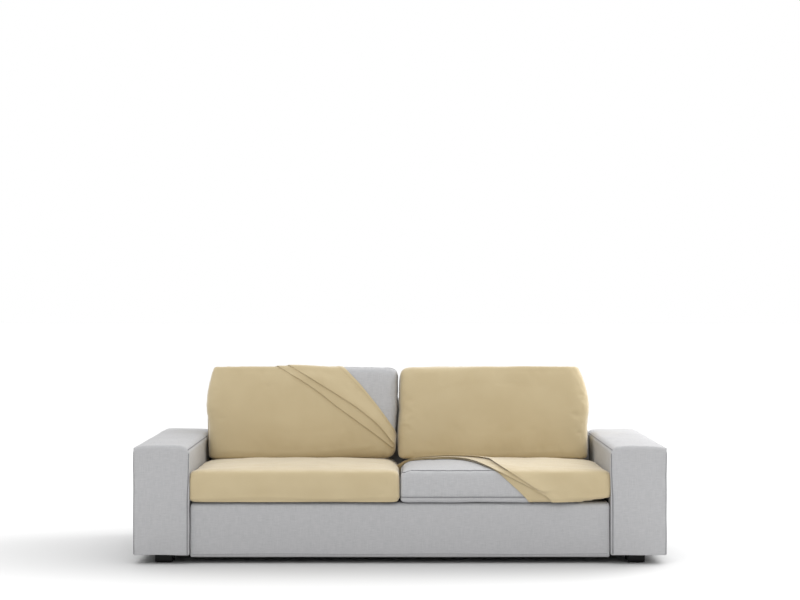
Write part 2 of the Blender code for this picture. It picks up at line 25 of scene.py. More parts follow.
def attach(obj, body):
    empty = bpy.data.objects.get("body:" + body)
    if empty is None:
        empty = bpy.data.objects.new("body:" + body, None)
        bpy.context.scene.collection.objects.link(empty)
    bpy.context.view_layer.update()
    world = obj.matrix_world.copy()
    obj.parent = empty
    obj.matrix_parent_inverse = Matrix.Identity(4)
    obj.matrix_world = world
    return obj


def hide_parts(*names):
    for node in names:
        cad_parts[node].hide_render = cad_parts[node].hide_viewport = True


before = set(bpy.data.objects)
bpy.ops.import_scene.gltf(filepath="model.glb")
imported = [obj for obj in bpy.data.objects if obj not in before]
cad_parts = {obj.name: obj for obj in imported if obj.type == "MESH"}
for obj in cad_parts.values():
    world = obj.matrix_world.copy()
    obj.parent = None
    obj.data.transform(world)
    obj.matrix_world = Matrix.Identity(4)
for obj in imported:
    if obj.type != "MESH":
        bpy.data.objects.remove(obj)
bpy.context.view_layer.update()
LOG = logging.getLogger("slipcovers")

BODY = "root"
CLOTH_UV = "cloth"                  # UV map in metres along the cloth's threads
MM = 0.001

# ---------------------------------------------------------------- sizes shared with the solids
SOFA_WIDTH, SOFA_DEPTH, ARM_WIDTH = 2.28, 0.95, 0.24
SEAT_SPAN = SOFA_WIDTH / 2 - ARM_WIDTH
CLEARANCE = 0.0003
DECK_HEIGHT, SEAT_REAR = 0.262, 0.314
SEAT_MID, SEAT_Y = 0.34, -0.0795
BACK_LEAN = math.radians(10.0)
BACK_Y, BACK_Z, BACK_REAR = 0.2585, 0.6108, 0.088
REAR_GAP = 0.0014                   # between the covered back cushions and the frame
SEAT_SEAMS, BACK_SEAMS = (0.0595, -0.0530), (0.045, -0.045)

# ---------------------------------------------------------------- sizes of the cloth
CLOTH, COVER_GAP = 0.0015, 0.0022   # thickness of a cover, and its distance off the cushion
EDGE_SQUEEZE = 0.006                # how much further a cover presses in a cushion's edges
LAYER_PITCH, FOLD_DEPTH = 0.0040, 0.012
ROOMY = 0.028                       # distance between edges that leaves a fold its full depth
LEAD_IN = (-0.021, -0.0125)         # where rows stop before a fold, drawn out flat and lying over
LEAD_OUT = (0.012, 0.0075)          # and where they start again after it
RIM = (0.985, 0.990, 0.994, 0.9968, 0.9984, 0.9993, 0.9998)   # sections at a cushion's end
HEM_SEAM = 4                        # which section from the hem carries its stitches
PIPE_RADIUS, PIPE_STEP, WELT_STEP = 2.3 * MM, 5.0 * MM, 6.0 * MM
STITCH_RADIUS, STITCH_STEP, STITCH_LIFT = 0.45 * MM, 3.6 * MM, 0.1 * MM

# ---------------------------------------------------------------- how finely shapes are found
BISECTIONS, RAY_LIMIT = 30, 3.0
SLOPE_STEP = 0.001                  # over which a section's slope is measured
TABLE_REACH, TABLE_STEP = 0.8, 0.001
FAR, AT_ONCE = 9.0, 64              # beyond every point, and points of a seam measured together
NEIGHBOURS, NEAR = 5, 2e-5          # puckers met at a point, and what keeps their weights finite
BASE_INSET, BASE_LIMIT = 0.85, 0.3  # how deep inside a section its rays start

# Stations on a face, stations round a quarter turn, sections on each side of the middle.
FINE = (60, 14, 46)                 # a cushion that shows
COARSE = (30, 8, 20)                # one that its cover hides
CASE = (26, 8, 16)                  # the case that is simulated
COVER_ROWS, COVER_WRAPS, COVER_SECTIONS = 64, 22, 52
LOOP_POINTS = 900
FRAME_PITCH = 0.012                 # between a frame block's sections

Array = np.ndarray
Place = Callable[[Array, Array, Array], Array]
Faces = list[Sequence[int]]
Point = tuple[float, float, float]
Pair = tuple[float, float]
Socket = bpy.types.NodeSocket
Item, Mesh, Material = bpy.types.Object, bpy.types.Mesh, bpy.types.Material


# ---------------------------------------------------------------- small helpers
def ease(value: Array | float) -> Array:
    """Smooth step from 0 to 1."""
    value = np.clip(value, 0.0, 1.0)
    return value * value * (3.0 - 2.0 * value)


def hump(distance: Array, width: Array | float) -> Array:
    """Bell of height 1 round a distance of 0."""
    return np.exp(-((distance / width) ** 2))


def blurred(values: Array, reach: int = 3) -> Array:
    """Mean of each value and its neighbours on the last axis.

    Args:
        values: Rows of values.
        reach: Neighbours on each side.

    Returns:
        The means.
    """
    spread = np.pad(values, [(0, 0)] * (values.ndim - 1) + [(reach, reach)], mode="edge")
    width = 2 * reach + 1
    return sum(spread[..., k:k + values.shape[-1]] for k in range(width)) / width


def stacked(*parts: Array | float) -> Array:
    """Rows of coordinates from arrays and single numbers."""
    return np.stack(np.broadcast_arrays(*parts), axis=-1)


def unit(vectors: Array, least: float) -> Array:
    """Vectors at length 1, or less where they are shorter than a least length."""
    return vectors / np.maximum(np.linalg.norm(vectors, axis=-1, keepdims=True), least)


@dataclass(frozen=True)
class Ripples:
    """Soft unevenness made of sine waves in fixed random directions."""

    height: float
    length: float
    seed: int
    stretch: Point = (1.0, 1.0, 1.0)    # how much longer the waves are along each axis
    count: int = 14

    def at(self, points: Array) -> Array:
        """Height of the unevenness.

        Args:
            points: Points whose last axis is X, Y, Z.

        Returns:
            A height for each.
        """
        chance = np.random.default_rng(self.seed)
        total = np.zeros(points.shape[:-1])
        for _ in range(self.count):
            way = chance.normal(size=3)
            way /= np.linalg.norm(way) * np.array(self.stretch)
            turns = chance.uniform(0.6, 1.6) / self.length
            total += np.sin(2 * np.pi * turns * (points @ way) + chance.uniform(0, 2 * np.pi))
        return self.height * total / math.sqrt(self.count)


class Nodes:
    """A node tree in the making."""

    def __init__(self, tree: bpy.types.NodeTree) -> None:
        """Take over a tree and empty it."""
        self.tree = tree
        tree.nodes.clear()

    def add(self, kind: str, settings: dict[str, Any] | None = None, *values: Any,
            out: int | str = 0, **named: Any) -> Socket:
        """Add a node with its settings, its input values and its links.

        Args:
            kind: Blender's name for the node's type.
            settings: Properties by name.
            *values: Inputs in order; a socket is linked.
            out: Which output is given back.
            **named: Inputs by name, in lower case with underscores.

        Returns:
            One of its outputs.
        """
        node = self.tree.nodes.new(kind)
        for name, value in (settings or {}).items():
            setattr(node, name, value)
        names = [item.name.lower().replace(" ", "_") for item in node.inputs]
        given = list(enumerate(values)) + [(names.index(key), named[key]) for key in named]
        for number, value in given:
            if isinstance(value, Socket):
                self.tree.links.new(value, node.inputs[number])
            elif value is not None:
                node.inputs[number].default_value = value
        return node.outputs[out]

    def end(self, kind: str, shown: Socket) -> None:
        """Add the tree's output node."""
        self.tree.links.new(shown, self.tree.nodes.new(kind).inputs[0])

    def math(self, operation: str, *values: Any, clamp: bool = False) -> Socket:
        """Add a maths node."""
        return self.add("ShaderNodeMath", {"operation": operation, "use_clamp": clamp}, *values)

    def blend(self, share: Socket, first: Colour, second: Colour) -> Socket:
        """Blend two colours by a share."""
        return self.add("ShaderNodeMix", {"data_type": "RGBA"}, share, *[None] * 5, first.linear,
                        second.linear, out=2)

    def noise(self, place: Socket, scale: float, detail: float, **named: Any) -> Socket:
        """Add noise."""
        return self.add("ShaderNodeTexNoise", None, vector=place, scale=scale, detail=detail,
                        **named)

    def bands(self, place: Socket, way: str, pitch_mm: float, **named: Any) -> Socket:
        """Add waves that repeat along a way at a pitch in millimetres."""
        return self.add("ShaderNodeTexWave", {"bands_direction": way}, vector=place,
                        scale=math.pi / 10.0 / (pitch_mm * MM), out="Fac", **named)

    def bump(self, height: Socket, strength: float, depth_mm: float) -> Socket:
        """Add a bump."""
        return self.add("ShaderNodeBump", None, height=height, strength=strength,
                        distance=depth_mm * MM)

    def surface(self, **named: Any) -> Socket:
        """Add the shader that most finishes end in."""
        return self.add("ShaderNodeBsdfPrincipled", None, **named)


# ---------------------------------------------------------------- finishes
class Colour(Enum):
    """Colours of the cloths and hard parts, sRGB; the piping's colours and the floor's colour
    beside the sofa are darkened as painted shade.
    """

    TAN = "#c5b592"
    TAN_DEEP = "#b7a581"
    GREY = "#bbbbbc"
    GREY_LIGHT = "#bdbdbe"
    GREY_DEEP = "#a9a9ab"
    # The piping colours are darker than the grey cloth they are cut from: painted shade of the
    # grooves beside the seams.
    PIPING = "#8e8e90"
    PIPING_DEEP = "#7c7c7e"
    THREAD = "#c6b083"
    FOOT_BLACK = "#070707"
    LINING_BLACK = "#1c1c1c"
    FLOOR = "#ebebeb"
    # The floor's colour right beside the sofa: painted shade.
    FLOOR_PAINTED_SHADE = "#cfcfcf"

    @property
    def linear(self) -> tuple[float, float, float, float]:
        """Linear red, green and blue, and an alpha of 1.

        Returns:
            The colour as Blender takes it.
        """
        parts = [int(self.value[start:start + 2], 16) / 255 for start in (1, 3, 5)]
        red, green, blue = [part / 12.92 if part <= 0.04045 else ((part + 0.055) / 1.055) ** 2.4
                            for part in parts]
        return red, green, blue, 1.0


@dataclass(frozen=True)
class Finish:
    """A material by its name and main colour."""

    name: str
    colour: Colour

    def shader(self, nodes: Nodes) -> Socket:
        """Wire the finish and give its shader; each kind of finish does it."""
        raise NotImplementedError

    def build(self) -> Material:
        """Make the material.

        Returns:
            The material.
        """
        material = bpy.data.materials.new(self.name)
        material.use_nodes = True
        nodes = Nodes(material.node_tree)
        nodes.end("ShaderNodeOutputMaterial", self.shader(nodes))
        return material


@dataclass(frozen=True)
class StretchKnit(Finish):
    """Polyester and elastane weft knit: fine columns of loops under even tension."""

    hollow: Colour                  # between the columns
    column_mm: float = 1.5
    course_mm: float = 1.1

    def shader(self, nodes: Nodes) -> Socket:
        """Wire the knit.

        Args:
            nodes: The material's tree.

        Returns:
            Its shader.
        """
        place = nodes.add("ShaderNodeUVMap", {"uv_map": CLOTH_UV})
        uneven = {"detail": 1.0, "detail_scale": 0.4}
        columns = nodes.bands(place, "X", self.column_mm, distortion=0.6, **uneven)
        courses = nodes.bands(place, "Y", self.course_mm, distortion=0.8, **uneven)
        loops = nodes.math("MULTIPLY_ADD", courses, 0.4, columns)
        pull = nodes.add("ShaderNodeMapRange", None, nodes.noise(place, 7.0, 2.0, roughness=0.45),
                         0.35, 0.65, 0.0, 0.30)
        depth = nodes.math("MULTIPLY_ADD", loops, -0.14, pull)
        tone = nodes.math("ADD", depth, 0.20, clamp=True)
        return nodes.surface(base_color=nodes.blend(tone, self.colour, self.hollow),
                             normal=nodes.bump(loops, 0.35, 0.25), roughness=0.82, ior=1.5,
                             specular_ior_level=0.25, sheen_weight=0.55, sheen_roughness=0.4,
                             sheen_tint=(1.0, 1.0, 1.0, 1.0))


@dataclass(frozen=True)
class WovenUpholstery(Finish):
    """Plain-woven polyester and linen: uneven yarns give a dry, mottled grey."""

    deep: Colour                    # between the raised yarns
    yarn_mm: float = 1.8
    slub_mm: float = 34.0           # length of a thick place in a yarn
    sheen: float = 0.12

    def shader(self, nodes: Nodes) -> Socket:
        """Wire the weave.

        Args:
            nodes: The material's tree.

        Returns:
            Its shader.
        """
        place = nodes.add("ShaderNodeUVMap", {"uv_map": CLOTH_UV})
        slubs, threads = [], []
        for along, across, way in ((self.slub_mm, self.yarn_mm, "X"),
                                   (self.yarn_mm, self.slub_mm, "Y")):
            spread = nodes.add("ShaderNodeMapping", None, vector=place,
                               scale=(1.0 / (along * MM), 1.0 / (across * 1.6 * MM), 1.0))
            slubs.append(nodes.noise(spread, 1.0, 2.0, roughness=0.6))
            threads.append(nodes.bands(place, way, self.yarn_mm, distortion=1.4, detail=1.0,
                                       detail_scale=0.6))
        weave, slub = nodes.math("MULTIPLY", *threads), nodes.math("ADD", *slubs)
        patch = nodes.noise(place, 48.0, 3.0, roughness=0.6)
        mottle = nodes.math("MULTIPLY_ADD", patch, 0.35, slub)
        tone = nodes.add("ShaderNodeMapRange", None, mottle, 0.80, 1.55)
        shade = nodes.math("MULTIPLY_ADD", weave, 0.18, tone, clamp=True)
        relief = nodes.math("MULTIPLY_ADD", slub, 0.8, weave)
        return nodes.surface(base_color=nodes.blend(shade, self.deep, self.colour),
                             normal=nodes.bump(relief, 0.5, 0.4), roughness=0.95, ior=1.5,
                             specular_ior_level=0.15, sheen_weight=self.sheen,
                             sheen_roughness=0.5)


@dataclass(frozen=True)
class SewingThread(Finish):
    """Spun polyester thread: twisted plies with a faint gloss."""

    twist_mm: float = 0.9

    def shader(self, nodes: Nodes) -> Socket:
        """Wire the thread.

        Args:
            nodes: The material's tree.

        Returns:
            Its shader.
        """
        place = nodes.add("ShaderNodeTexCoord", out="Object")
        twist = nodes.bands(place, "DIAGONAL", self.twist_mm)
        return nodes.surface(base_color=self.colour.linear, roughness=0.55, ior=1.54,
                             normal=nodes.bump(twist, 0.4, 0.1))


@dataclass(frozen=True)
class MouldedPlastic(Finish):
    """Injection-moulded polypropylene with a spark-eroded grain, so its gloss is broken up."""

    grain_mm: float = 0.8
    roughness: float = 0.42

    def shader(self, nodes: Nodes) -> Socket:
        """Wire the plastic.

        Args:
            nodes: The material's tree.

        Returns:
            Its shader.
        """
        place = nodes.add("ShaderNodeTexCoord", out="Object")
        grain = nodes.noise(place, 1.0 / (self.grain_mm * MM), 2.0)
        gloss = nodes.add("ShaderNodeMapRange", None, nodes.noise(place, 30.0, 3.0),
                          to_min=self.roughness - 0.1, to_max=self.roughness + 0.1)
        return nodes.surface(base_color=self.colour.linear, ior=1.49, specular_ior_level=0.3,
                             roughness=gloss, normal=nodes.bump(grain, 0.3, 0.1))


@dataclass(frozen=True)
class PaintedFloor(Finish):
    """Matt white studio floor paint, greyer right beside the sofa as painted shade, white away from
    it.
    """

    # The colour right beside the sofa: painted shade.
    near: Colour

    def shader(self, nodes: Nodes) -> Socket:
        """Wire the paint.

        Args:
            nodes: The material's tree.

        Returns:
            Its shader.
        """
        place = nodes.add("ShaderNodeTexCoord", out="Object")
        squashed = nodes.add("ShaderNodeMapping", None, vector=place, scale=(0.80, 1.75, 1.0))
        away = nodes.add("ShaderNodeVectorMath", {"operation": "LENGTH"}, squashed, out="Value")
        # Share from the painted shade beside the sofa to the plain white floor away from it.
        reach = nodes.add("ShaderNodeMapRange", {"interpolation_type": "SMOOTHSTEP"}, away, 0.85,
                          2.2)
        return nodes.add("ShaderNodeBsdfDiffuse", None,
                         nodes.blend(reach, self.near, self.colour))


class Finishes:
    """Every finish of the set, each made once."""

    def __init__(self) -> None:
        """Make the materials."""
        self.cover = StretchKnit("tan_stretch_knit", Colour.TAN, Colour.TAN_DEEP).build()
        self.cushion = WovenUpholstery("grey_woven_cushion_cloth", Colour.GREY_LIGHT,
                                       Colour.GREY_DEEP).build()
        self.body = WovenUpholstery("grey_woven_frame_cloth", Colour.GREY, Colour.GREY_DEEP).build()
        # The piping cloth is darkened: painted shade of its seams' grooves.
        self.piping = WovenUpholstery("grey_bias_cut_piping_cloth", Colour.PIPING,
                                      Colour.PIPING_DEEP, slub_mm=9.0).build()
        self.lining = WovenUpholstery("black_spunbond_lining", Colour.LINING_BLACK,
                                      Colour.LINING_BLACK, yarn_mm=4.0, sheen=0.0).build()
        self.thread = SewingThread("tan_spun_polyester_thread", Colour.THREAD).build()
        self.foot = MouldedPlastic("black_moulded_polypropylene", Colour.FOOT_BLACK).build()
        self.floor = PaintedFloor("matt_white_floor_paint_with_painted_shade", Colour.FLOOR,
                                  Colour.FLOOR_PAINTED_SHADE).build()


# ---------------------------------------------------------------- meshes
def strip(one: Array, other: Array, closed: bool) -> Faces:
    """Quads between two lines of point numbers.

    Args:
        one: Numbers along the first line.
        other: The same for the second.
        closed: Whether the lines are loops.

    Returns:
        The quads.
    """
    if closed:
        one, other = np.append(one, one[0]), np.append(other, other[0])
    return np.stack([one[:-1], one[1:], other[1:], other[:-1]], axis=-1).tolist()


def loft(grid: Array, closed: bool) -> Faces:
    """Quads between the rows of a grid of point numbers."""
    return [quad for one, other in zip(grid, grid[1:]) for quad in strip(one, other, closed)]


def ladder(row: Array) -> Faces:
    """Faces that close a ring across, each point joined to its mirror."""
    return [list(dict.fromkeys((*row[k:k + 2].tolist(), *row[::-1][k:k + 2][::-1].tolist())))
            for k in range((len(row) - 1) // 2)]


def shut(grid: Array, rungs: bool) -> Faces:
    """Faces of closed rings whose ends are shut by ladders, or else by one face each."""
    ends = [ladder(row) if rungs else [row.tolist()] for row in (grid[0], grid[-1])]
    return loft(grid, True) + ends[0] + ends[1]


def numbered(points: Array, first: int = 0) -> Array:
    """Numbers of points, laid out as their rows are."""
    return first + np.arange(points[..., 0].size).reshape(points.shape[:-1])


def linked(name: str, mesh: Mesh) -> Item:
    """An object of a mesh, linked to the scene.

    Args:
        name: Object name.
        mesh: What it holds.

    Returns:
        The object.
    """
    item = bpy.data.objects.new(name, mesh)
    bpy.context.scene.collection.objects.link(item)
    return item


def applied(item: Item) -> Mesh:
    """The mesh that an object's modifiers make; the object is removed.

    Args:
        item: An object with modifiers.

    Returns:
        The mesh.
    """
    mesh = bpy.data.meshes.new_from_object(
        item.evaluated_get(bpy.context.evaluated_depsgraph_get()))
    bpy.data.objects.remove(item)
    return mesh


def mesh_object(name: str, points: Array, faces: Faces, materials: Sequence[Material],
                sharp: float = 50.0) -> Item:
    """Make an object of a closed mesh whose faces point out.

    Args:
        name: Object name.
        points: Points in the sofa's frame.
        faces: Point numbers of each face.
        materials: Its material slots.
        sharp: Angle in degrees past which an edge is drawn sharp.

    Returns:
        The linked object.
    """
    mesh = bpy.data.meshes.new(name)
    mesh.from_pydata(points.reshape(-1, 3).tolist(), [], faces)
    body = bmesh.new()
    body.from_mesh(mesh)
    bmesh.ops.recalc_face_normals(body, faces=body.faces[:])
    if body.calc_volume(signed=True) < 0:
        bmesh.ops.reverse_faces(body, faces=body.faces[:])
    body.to_mesh(mesh)
    body.free()
    mesh.shade_smooth()
    mesh.set_sharp_from_angle(angle=math.radians(sharp))
    for material in materials:
        mesh.materials.append(material)
    return linked(name, mesh)


def read(items: Any, name: str, width: int = 3, kind: type = float) -> Array:
    """Values of a mesh's points, edges, corners or faces, a row for each.

    Args:
        items: The points, edges, corners or faces.
        name: What is read.
        width: Numbers in a row.
        kind: Their type.

    Returns:
        The rows.
    """
    flat = np.zeros(len(items) * width, kind)
    items.foreach_get(name, flat)
    return flat.reshape(-1, width)


def move(item: Item, points: Array) -> None:
    """Put a mesh's points elsewhere."""
    item.data.vertices.foreach_set("co", points.ravel())
    item.data.update()


def push_out(item: Item, heights: Array) -> None:
    """Move each point of a mesh along its normal."""
    mesh = item.data
    move(item, read(mesh.vertices, "co") + read(mesh.vertex_normals, "vector") * heights[:, None])


def lay_cloth(item: Item, lean: float = 0.0) -> None:
    """Give a mesh a UV map in metres, cut from the side that each face looks to.

    Args:
        item: The mesh object.
        lean: Angle by which the piece leans back, in radians.
    """
    mesh = item.data
    layer = mesh.uv_layers.new(name=CLOTH_UV)
    points = read(mesh.vertices, "co")[read(mesh.loops, "vertex_index", 1, int)[:, 0]]
    sizes = read(mesh.polygons, "loop_total", 1, int)[:, 0]
    normals = np.repeat(read(mesh.polygons, "normal"), sizes, axis=0)
    sine, cosine = math.sin(lean), math.cos(lean)
    turn = np.array([[1, 0, 0], [0, cosine, -sine], [0, sine, cosine]])
    points, normals = points @ turn.T, np.abs(normals @ turn.T)
    side = np.argmax(normals * np.array([1.0, 1.05, 1.0]), axis=1)
    axes = np.array([[1, 2], [0, 2], [0, 1]])[side]
    layer.data.foreach_set("uv", np.take_along_axis(points, axes, axis=1).ravel())


def settle_path(path: Array, item: Item, lift: float = 0.0) -> Array:
    """Lay a line of points onto a mesh.

    Args:
        path: Points near the surface.
        item: The mesh object.
        lift: Distance off the surface.

    Returns:
        The nearest points of the surface, lifted.
    """
    body = bmesh.new()
    body.from_mesh(item.data)
    tree = BVHTree.FromBMesh(body)
    body.free()
    found = [tree.find_nearest(Vector(point))[:2] for point in path]
    return np.array([spot + normal * lift for spot, normal in found])


def seam(path: Array, item: Item, depth: float, width: float, lift: float) -> Array:
    """Press a seam into a mesh.

    Args:
        path: Points near the surface.
        item: The mesh object.
        depth: Depth of the groove, in millimetres as the next two are.
        width: Its half width.
        lift: How far its piping lies off the groove.

    Returns:
        The line on which its piping lies.
    """
    path = settle_path(path, item)
    points = read(item.data.vertices, "co")
    nearest = np.full(len(points), FAR)
    for start in range(0, len(path), AT_ONCE):
        gaps = np.linalg.norm(points[:, None, :] - path[None, start:start + AT_ONCE], axis=2)
        nearest = np.minimum(nearest, gaps.min(axis=1))
    push_out(item, -depth * MM * hump(nearest, width * MM))
    return settle_path(path, item, lift * MM)


# ---------------------------------------------------------------- repeated detail
class Repeat(Enum):
    """What a line of points is turned into."""

    PIPING = "piping"
    STITCHES = "stitches"


class LineDetail:
    """Geometry Nodes that sew piping or a row of stitches along a line of points."""

    def __init__(self, kind: Repeat) -> None:
        """Build the tree for one kind.

        Args:
            kind: What a line is turned into.
        """
        tree = self.tree = bpy.data.node_groups.new(kind.value, "GeometryNodeTree")
        tree.is_modifier = True
        nodes, face = Nodes(tree), tree.interface
        self.sockets = {
            name: face.new_socket(name=name, in_out="INPUT",
                                  socket_type="NodeSocket" + sort).identifier
            for name, sort in (("Line", "Geometry"), ("Radius", "Float"), ("Spacing", "Float"),
                               ("Seed", "Int"), ("Material", "Material"))}
        face.new_socket(name="Sewn", in_out="OUTPUT", socket_type="NodeSocketGeometry")
        given = tree.nodes.new("NodeGroupInput").outputs
        line = nodes.add("GeometryNodeMeshToCurve", mesh=given["Line"])
        even = nodes.add("GeometryNodeResampleCurve", {"mode": "LENGTH"}, curve=line,
                         length=given["Spacing"])
        if kind is Repeat.PIPING:
            ring = nodes.add("GeometryNodeCurvePrimitiveCircle", resolution=8,
                             radius=given["Radius"])
            grown = nodes.add("GeometryNodeCurveToMesh", curve=even, profile_curve=ring,
                              fill_caps=True)
        else:
            grown = self.stitch_row(nodes, given, even)
        whole = nodes.add("GeometryNodeRealizeInstances", geometry=grown)
        nodes.end("NodeGroupOutput", nodes.add("GeometryNodeSetMaterial", geometry=whole,
                                               material=given["Material"]))

    @staticmethod
    def stitch_row(nodes: Nodes, given: Any, even: Socket) -> Socket:
        """Lay one rounded, slightly skewed stitch along the line at each resampled point.

        Args:
            nodes: The tree.
            given: The tree's inputs.
            even: The resampled line.

        Returns:
            The socket that holds the stitches.
        """
        bead = nodes.add("GeometryNodeMeshUVSphere", segments=6, rings=4, radius=1.0)
        size = nodes.add("ShaderNodeCombineXYZ", None, given["Radius"], given["Radius"],
                         nodes.math("MULTIPLY", given["Spacing"], 0.42))
        turned = nodes.add("FunctionNodeAlignRotationToVector", {"axis": "Z"},
                           vector=nodes.add("GeometryNodeInputTangent"))
        chance = nodes.add("FunctionNodeRandomValue", {"data_type": "FLOAT_VECTOR"},
                           (-0.06, -0.06, -0.06), (0.06, 0.06, 0.06), seed=given["Seed"])
        skew = nodes.add("FunctionNodeRotateRotation", rotation=turned, rotate_by=chance)
        return nodes.add("GeometryNodeInstanceOnPoints", points=even, instance=bead,
                         rotation=skew, scale=size)

    def sew(self, name: str, paths: Sequence[Array], closed: bool, radius: float,
            spacing: float, material: Material, seed: int = 7) -> Item:
        """Make the detail along some lines as one plain mesh.

        Args:
            name: Object name.
            paths: Lines of points.
            closed: Whether they are closed loops.
            radius: Radius of the piping or thread.
            spacing: Distance between its points, or between stitches.
            material: Its finish.
            seed: Seed of the stitches' slight turns.

        Returns:
            The finished object.
        """
        points, edges = [], []
        for path in paths:
            first = len(points)
            points += path.tolist()
            edges += [(spot, spot + 1) for spot in range(first, len(points) - 1)]
            if closed:
                edges.append((len(points) - 1, first))
        mesh = bpy.data.meshes.new(name + "_line")
        mesh.from_pydata(points, edges, [])
        rough = linked(name + "_line", mesh)
        modifier = rough.modifiers.new("sewn", "NODES")
        modifier.node_group = self.tree
        for socket, value in (("Radius", radius), ("Spacing", spacing), ("Seed", seed),
                              ("Material", material)):
            modifier[self.sockets[socket]] = value
        made = applied(rough)
        made.name = name
        made.shade_smooth()
        item = linked(name, made)
        lay_cloth(item)
        return item


# ---------------------------------------------------------------- cushion shapes
def bisected(inside: Callable[[Array], Array], high: Array) -> Array:
    """Largest distances, from 0 up to a limit, that are still inside a form.

    Args:
        inside: Tells which distances are inside.
        high: The limits.

    Returns:
        The distances.
    """
    low = 0.0 * high
    for _ in range(BISECTIONS):
        middle = (low + high) / 2
        within = inside(middle)
        low, high = np.where(within, middle, low), np.where(within, high, middle)
    return low


@dataclass(frozen=True)
class CushionForm:
    """A filled cushion's shape in its own axes: u across, v along, w out of its face.

    Attributes:
        centre: Middle of the widest section in the sofa.
        lean: False for a seat that lies flat, True for a back that stands.
        half_width: Half its width.
        half_length: Half its length.
        face: Half thickness towards the face.
        rear: Half thickness away from the face.
        corners: How square its corners are: low left, low right, high left, high right.
        powers: How square it is out of its face and behind.
        sides: How square its left and right sides are at the widest section.
        crown_side: How square the sides are near the top of the face.
        squeeze: How far a stretched cover presses it in.
        draw: How far the left and right ears are drawn in.
        tuck: How far the left and right lower sides are tucked in.
        sag: How far the rear of the face is pressed down.
        foot: How far the low end reaches further down towards the face.
        lift: How far the low right corner stands off what it lies on.
        puff: How far the border swells between its seams.
        dome: Share of the face's thickness lost towards its edges.
        crown_front: What is added to the crown's power along the front edge.
        brow: How square the low and high ends are near the top of the face, 0 as elsewhere.
        shoulder: How far the face comes down to the left and right side behind its front edge.
    """

    centre: Point
    lean: bool
    half_width: float
    half_length: float
    face: float
    rear: float
    corners: tuple[float, float, float, float]
    powers: Pair
    sides: Pair
    crown_side: float
    squeeze: float
    draw: Pair = (0.0, 0.0)
    tuck: Pair = (0.0, 0.0)
    sag: float = 0.0
    foot: float = 0.0
    lift: float = 0.0
    puff: float = 0.0
    dome: float = 0.0
    crown_front: float = 0.0
    brow: float = 0.0
    shoulder: Pair = (0.0, 0.0)

    def side_reach(self, v: Array, side: Array | float) -> Array:
        """Half width at v towards one side, -1 left or +1 right.

        Args:
            v: Places along the cushion.
            side: The side, -1 left or +1 right.

        Returns:
            The half width at each place.
        """
        right = np.asarray(side) > 0
        draw, tuck = (np.where(right, pair[1], pair[0]) for pair in (self.draw, self.tuck))
        ear = np.clip((v - 0.02) / (self.half_length - 0.02), 0.0, 1.2) ** 1.8
        return self.half_width - draw * ear - tuck * ease((0.02 - v) / 0.11)

    def fullness(self, point: Array, grow: Array | float) -> Array:
        """Below 1 inside the form grown by a distance, above 1 outside it.

        Args:
            point: Points in own axes.
            grow: Distance by which the form is grown.

        Returns:
            The fullness at each point.
        """
        u, v, w = np.moveaxis(point, -1, 0)
        low_left, low_right, high_left, high_right = self.corners
        across, out = u / self.half_width, v / self.half_length
        to_right = ease(0.75 * across + 0.5)
        along = np.where(v < 0, low_left + (low_right - low_left) * to_right,
                         high_left + (high_right - high_left) * to_right)
        if self.brow:
            along = along + (self.brow - along) * ease((w / self.face - 0.45) / 0.5)
        thick = self.face + self.rear
        length = self.half_length + grow + np.where(v < 0, self.foot, 0) * (w + self.rear) / thick
        middle, half = sum(SEAT_SEAMS) / 2, (SEAT_SEAMS[0] - SEAT_SEAMS[1]) / 2
        length = length + self.puff * np.clip(1 - ((w - middle) / half) ** 2, 0, 1)
        face = self.face * (1 - self.dome * (out ** 2 + 0.5 * across ** 2))
        face = face - self.sag * ease((v - 0.05) / 0.17)
        shoulder = np.where(u < 0, *self.shoulder) * ease((v + 0.37) / 0.26)
        face = face - shoulder * np.clip((np.abs(across) - 0.84) / 0.16, 0, 1) ** 2
        lift = self.lift * np.clip((across - 0.45) / 0.55, 0, 1) ** 2 * ease((-out - 0.3) / 0.6)
        reach_w = np.where(w >= 0, face, self.rear - lift) + grow
        side = np.where(u < 0, *self.sides)
        crown = self.crown_side + self.crown_front * ease((-out - 0.80) / 0.15)
        power_u = side + (crown - side) * ease((w / self.face - 0.3) / 0.6)
        share_u = np.abs(u) / (self.side_reach(v, u) + grow)
        share_w = (np.abs(w) / reach_w) ** np.where(w >= 0, *self.powers)
        return share_u ** power_u + (np.abs(v) / length) ** along + share_w

    def edge_share(self, point: Array) -> Array:
        """0 in the middle of the cushion's sides, 1 at its edges and more at its corners.

        Args:
            point: Points in own axes.

        Returns:
            The share at each point.
        """
        across, along, out = np.moveaxis(np.abs(point), -1, 0)
        across, along = across / self.half_width, along / self.half_length
        out = out / np.where(point[..., 2] >= 0, self.face, self.rear)
        return (across * along) ** 6 + (across * out) ** 6 + (along * out) ** 6

    def cast(self, base: Array, way: Array, grow: Array | float) -> Array:
        """Meet the grown surface with rays from inside.

        Args:
            base: Start points.
            way: Ray directions.
            grow: Distance by which the form is grown, for each ray.

        Returns:
            The points on the surface.
        """
        far = bisected(lambda reach: self.fullness(base + reach[..., None] * way, grow) < 1.0,
                       np.full(base.shape[:-1], RAY_LIMIT))
        return base + far[..., None] * way

    def to_sofa(self, point: Array) -> Array:
        """Points in the form's own axes, placed in the sofa.

        Args:
            point: Points in own axes.

        Returns:
            The points in the sofa.
        """
        if self.lean:
            u, v, w = np.moveaxis(point, -1, 0)
            sine, cosine = math.sin(BACK_LEAN), math.cos(BACK_LEAN)
            point = stacked(u, v * sine - w * cosine, v * cosine + w * sine)
        return point + np.array(self.centre)

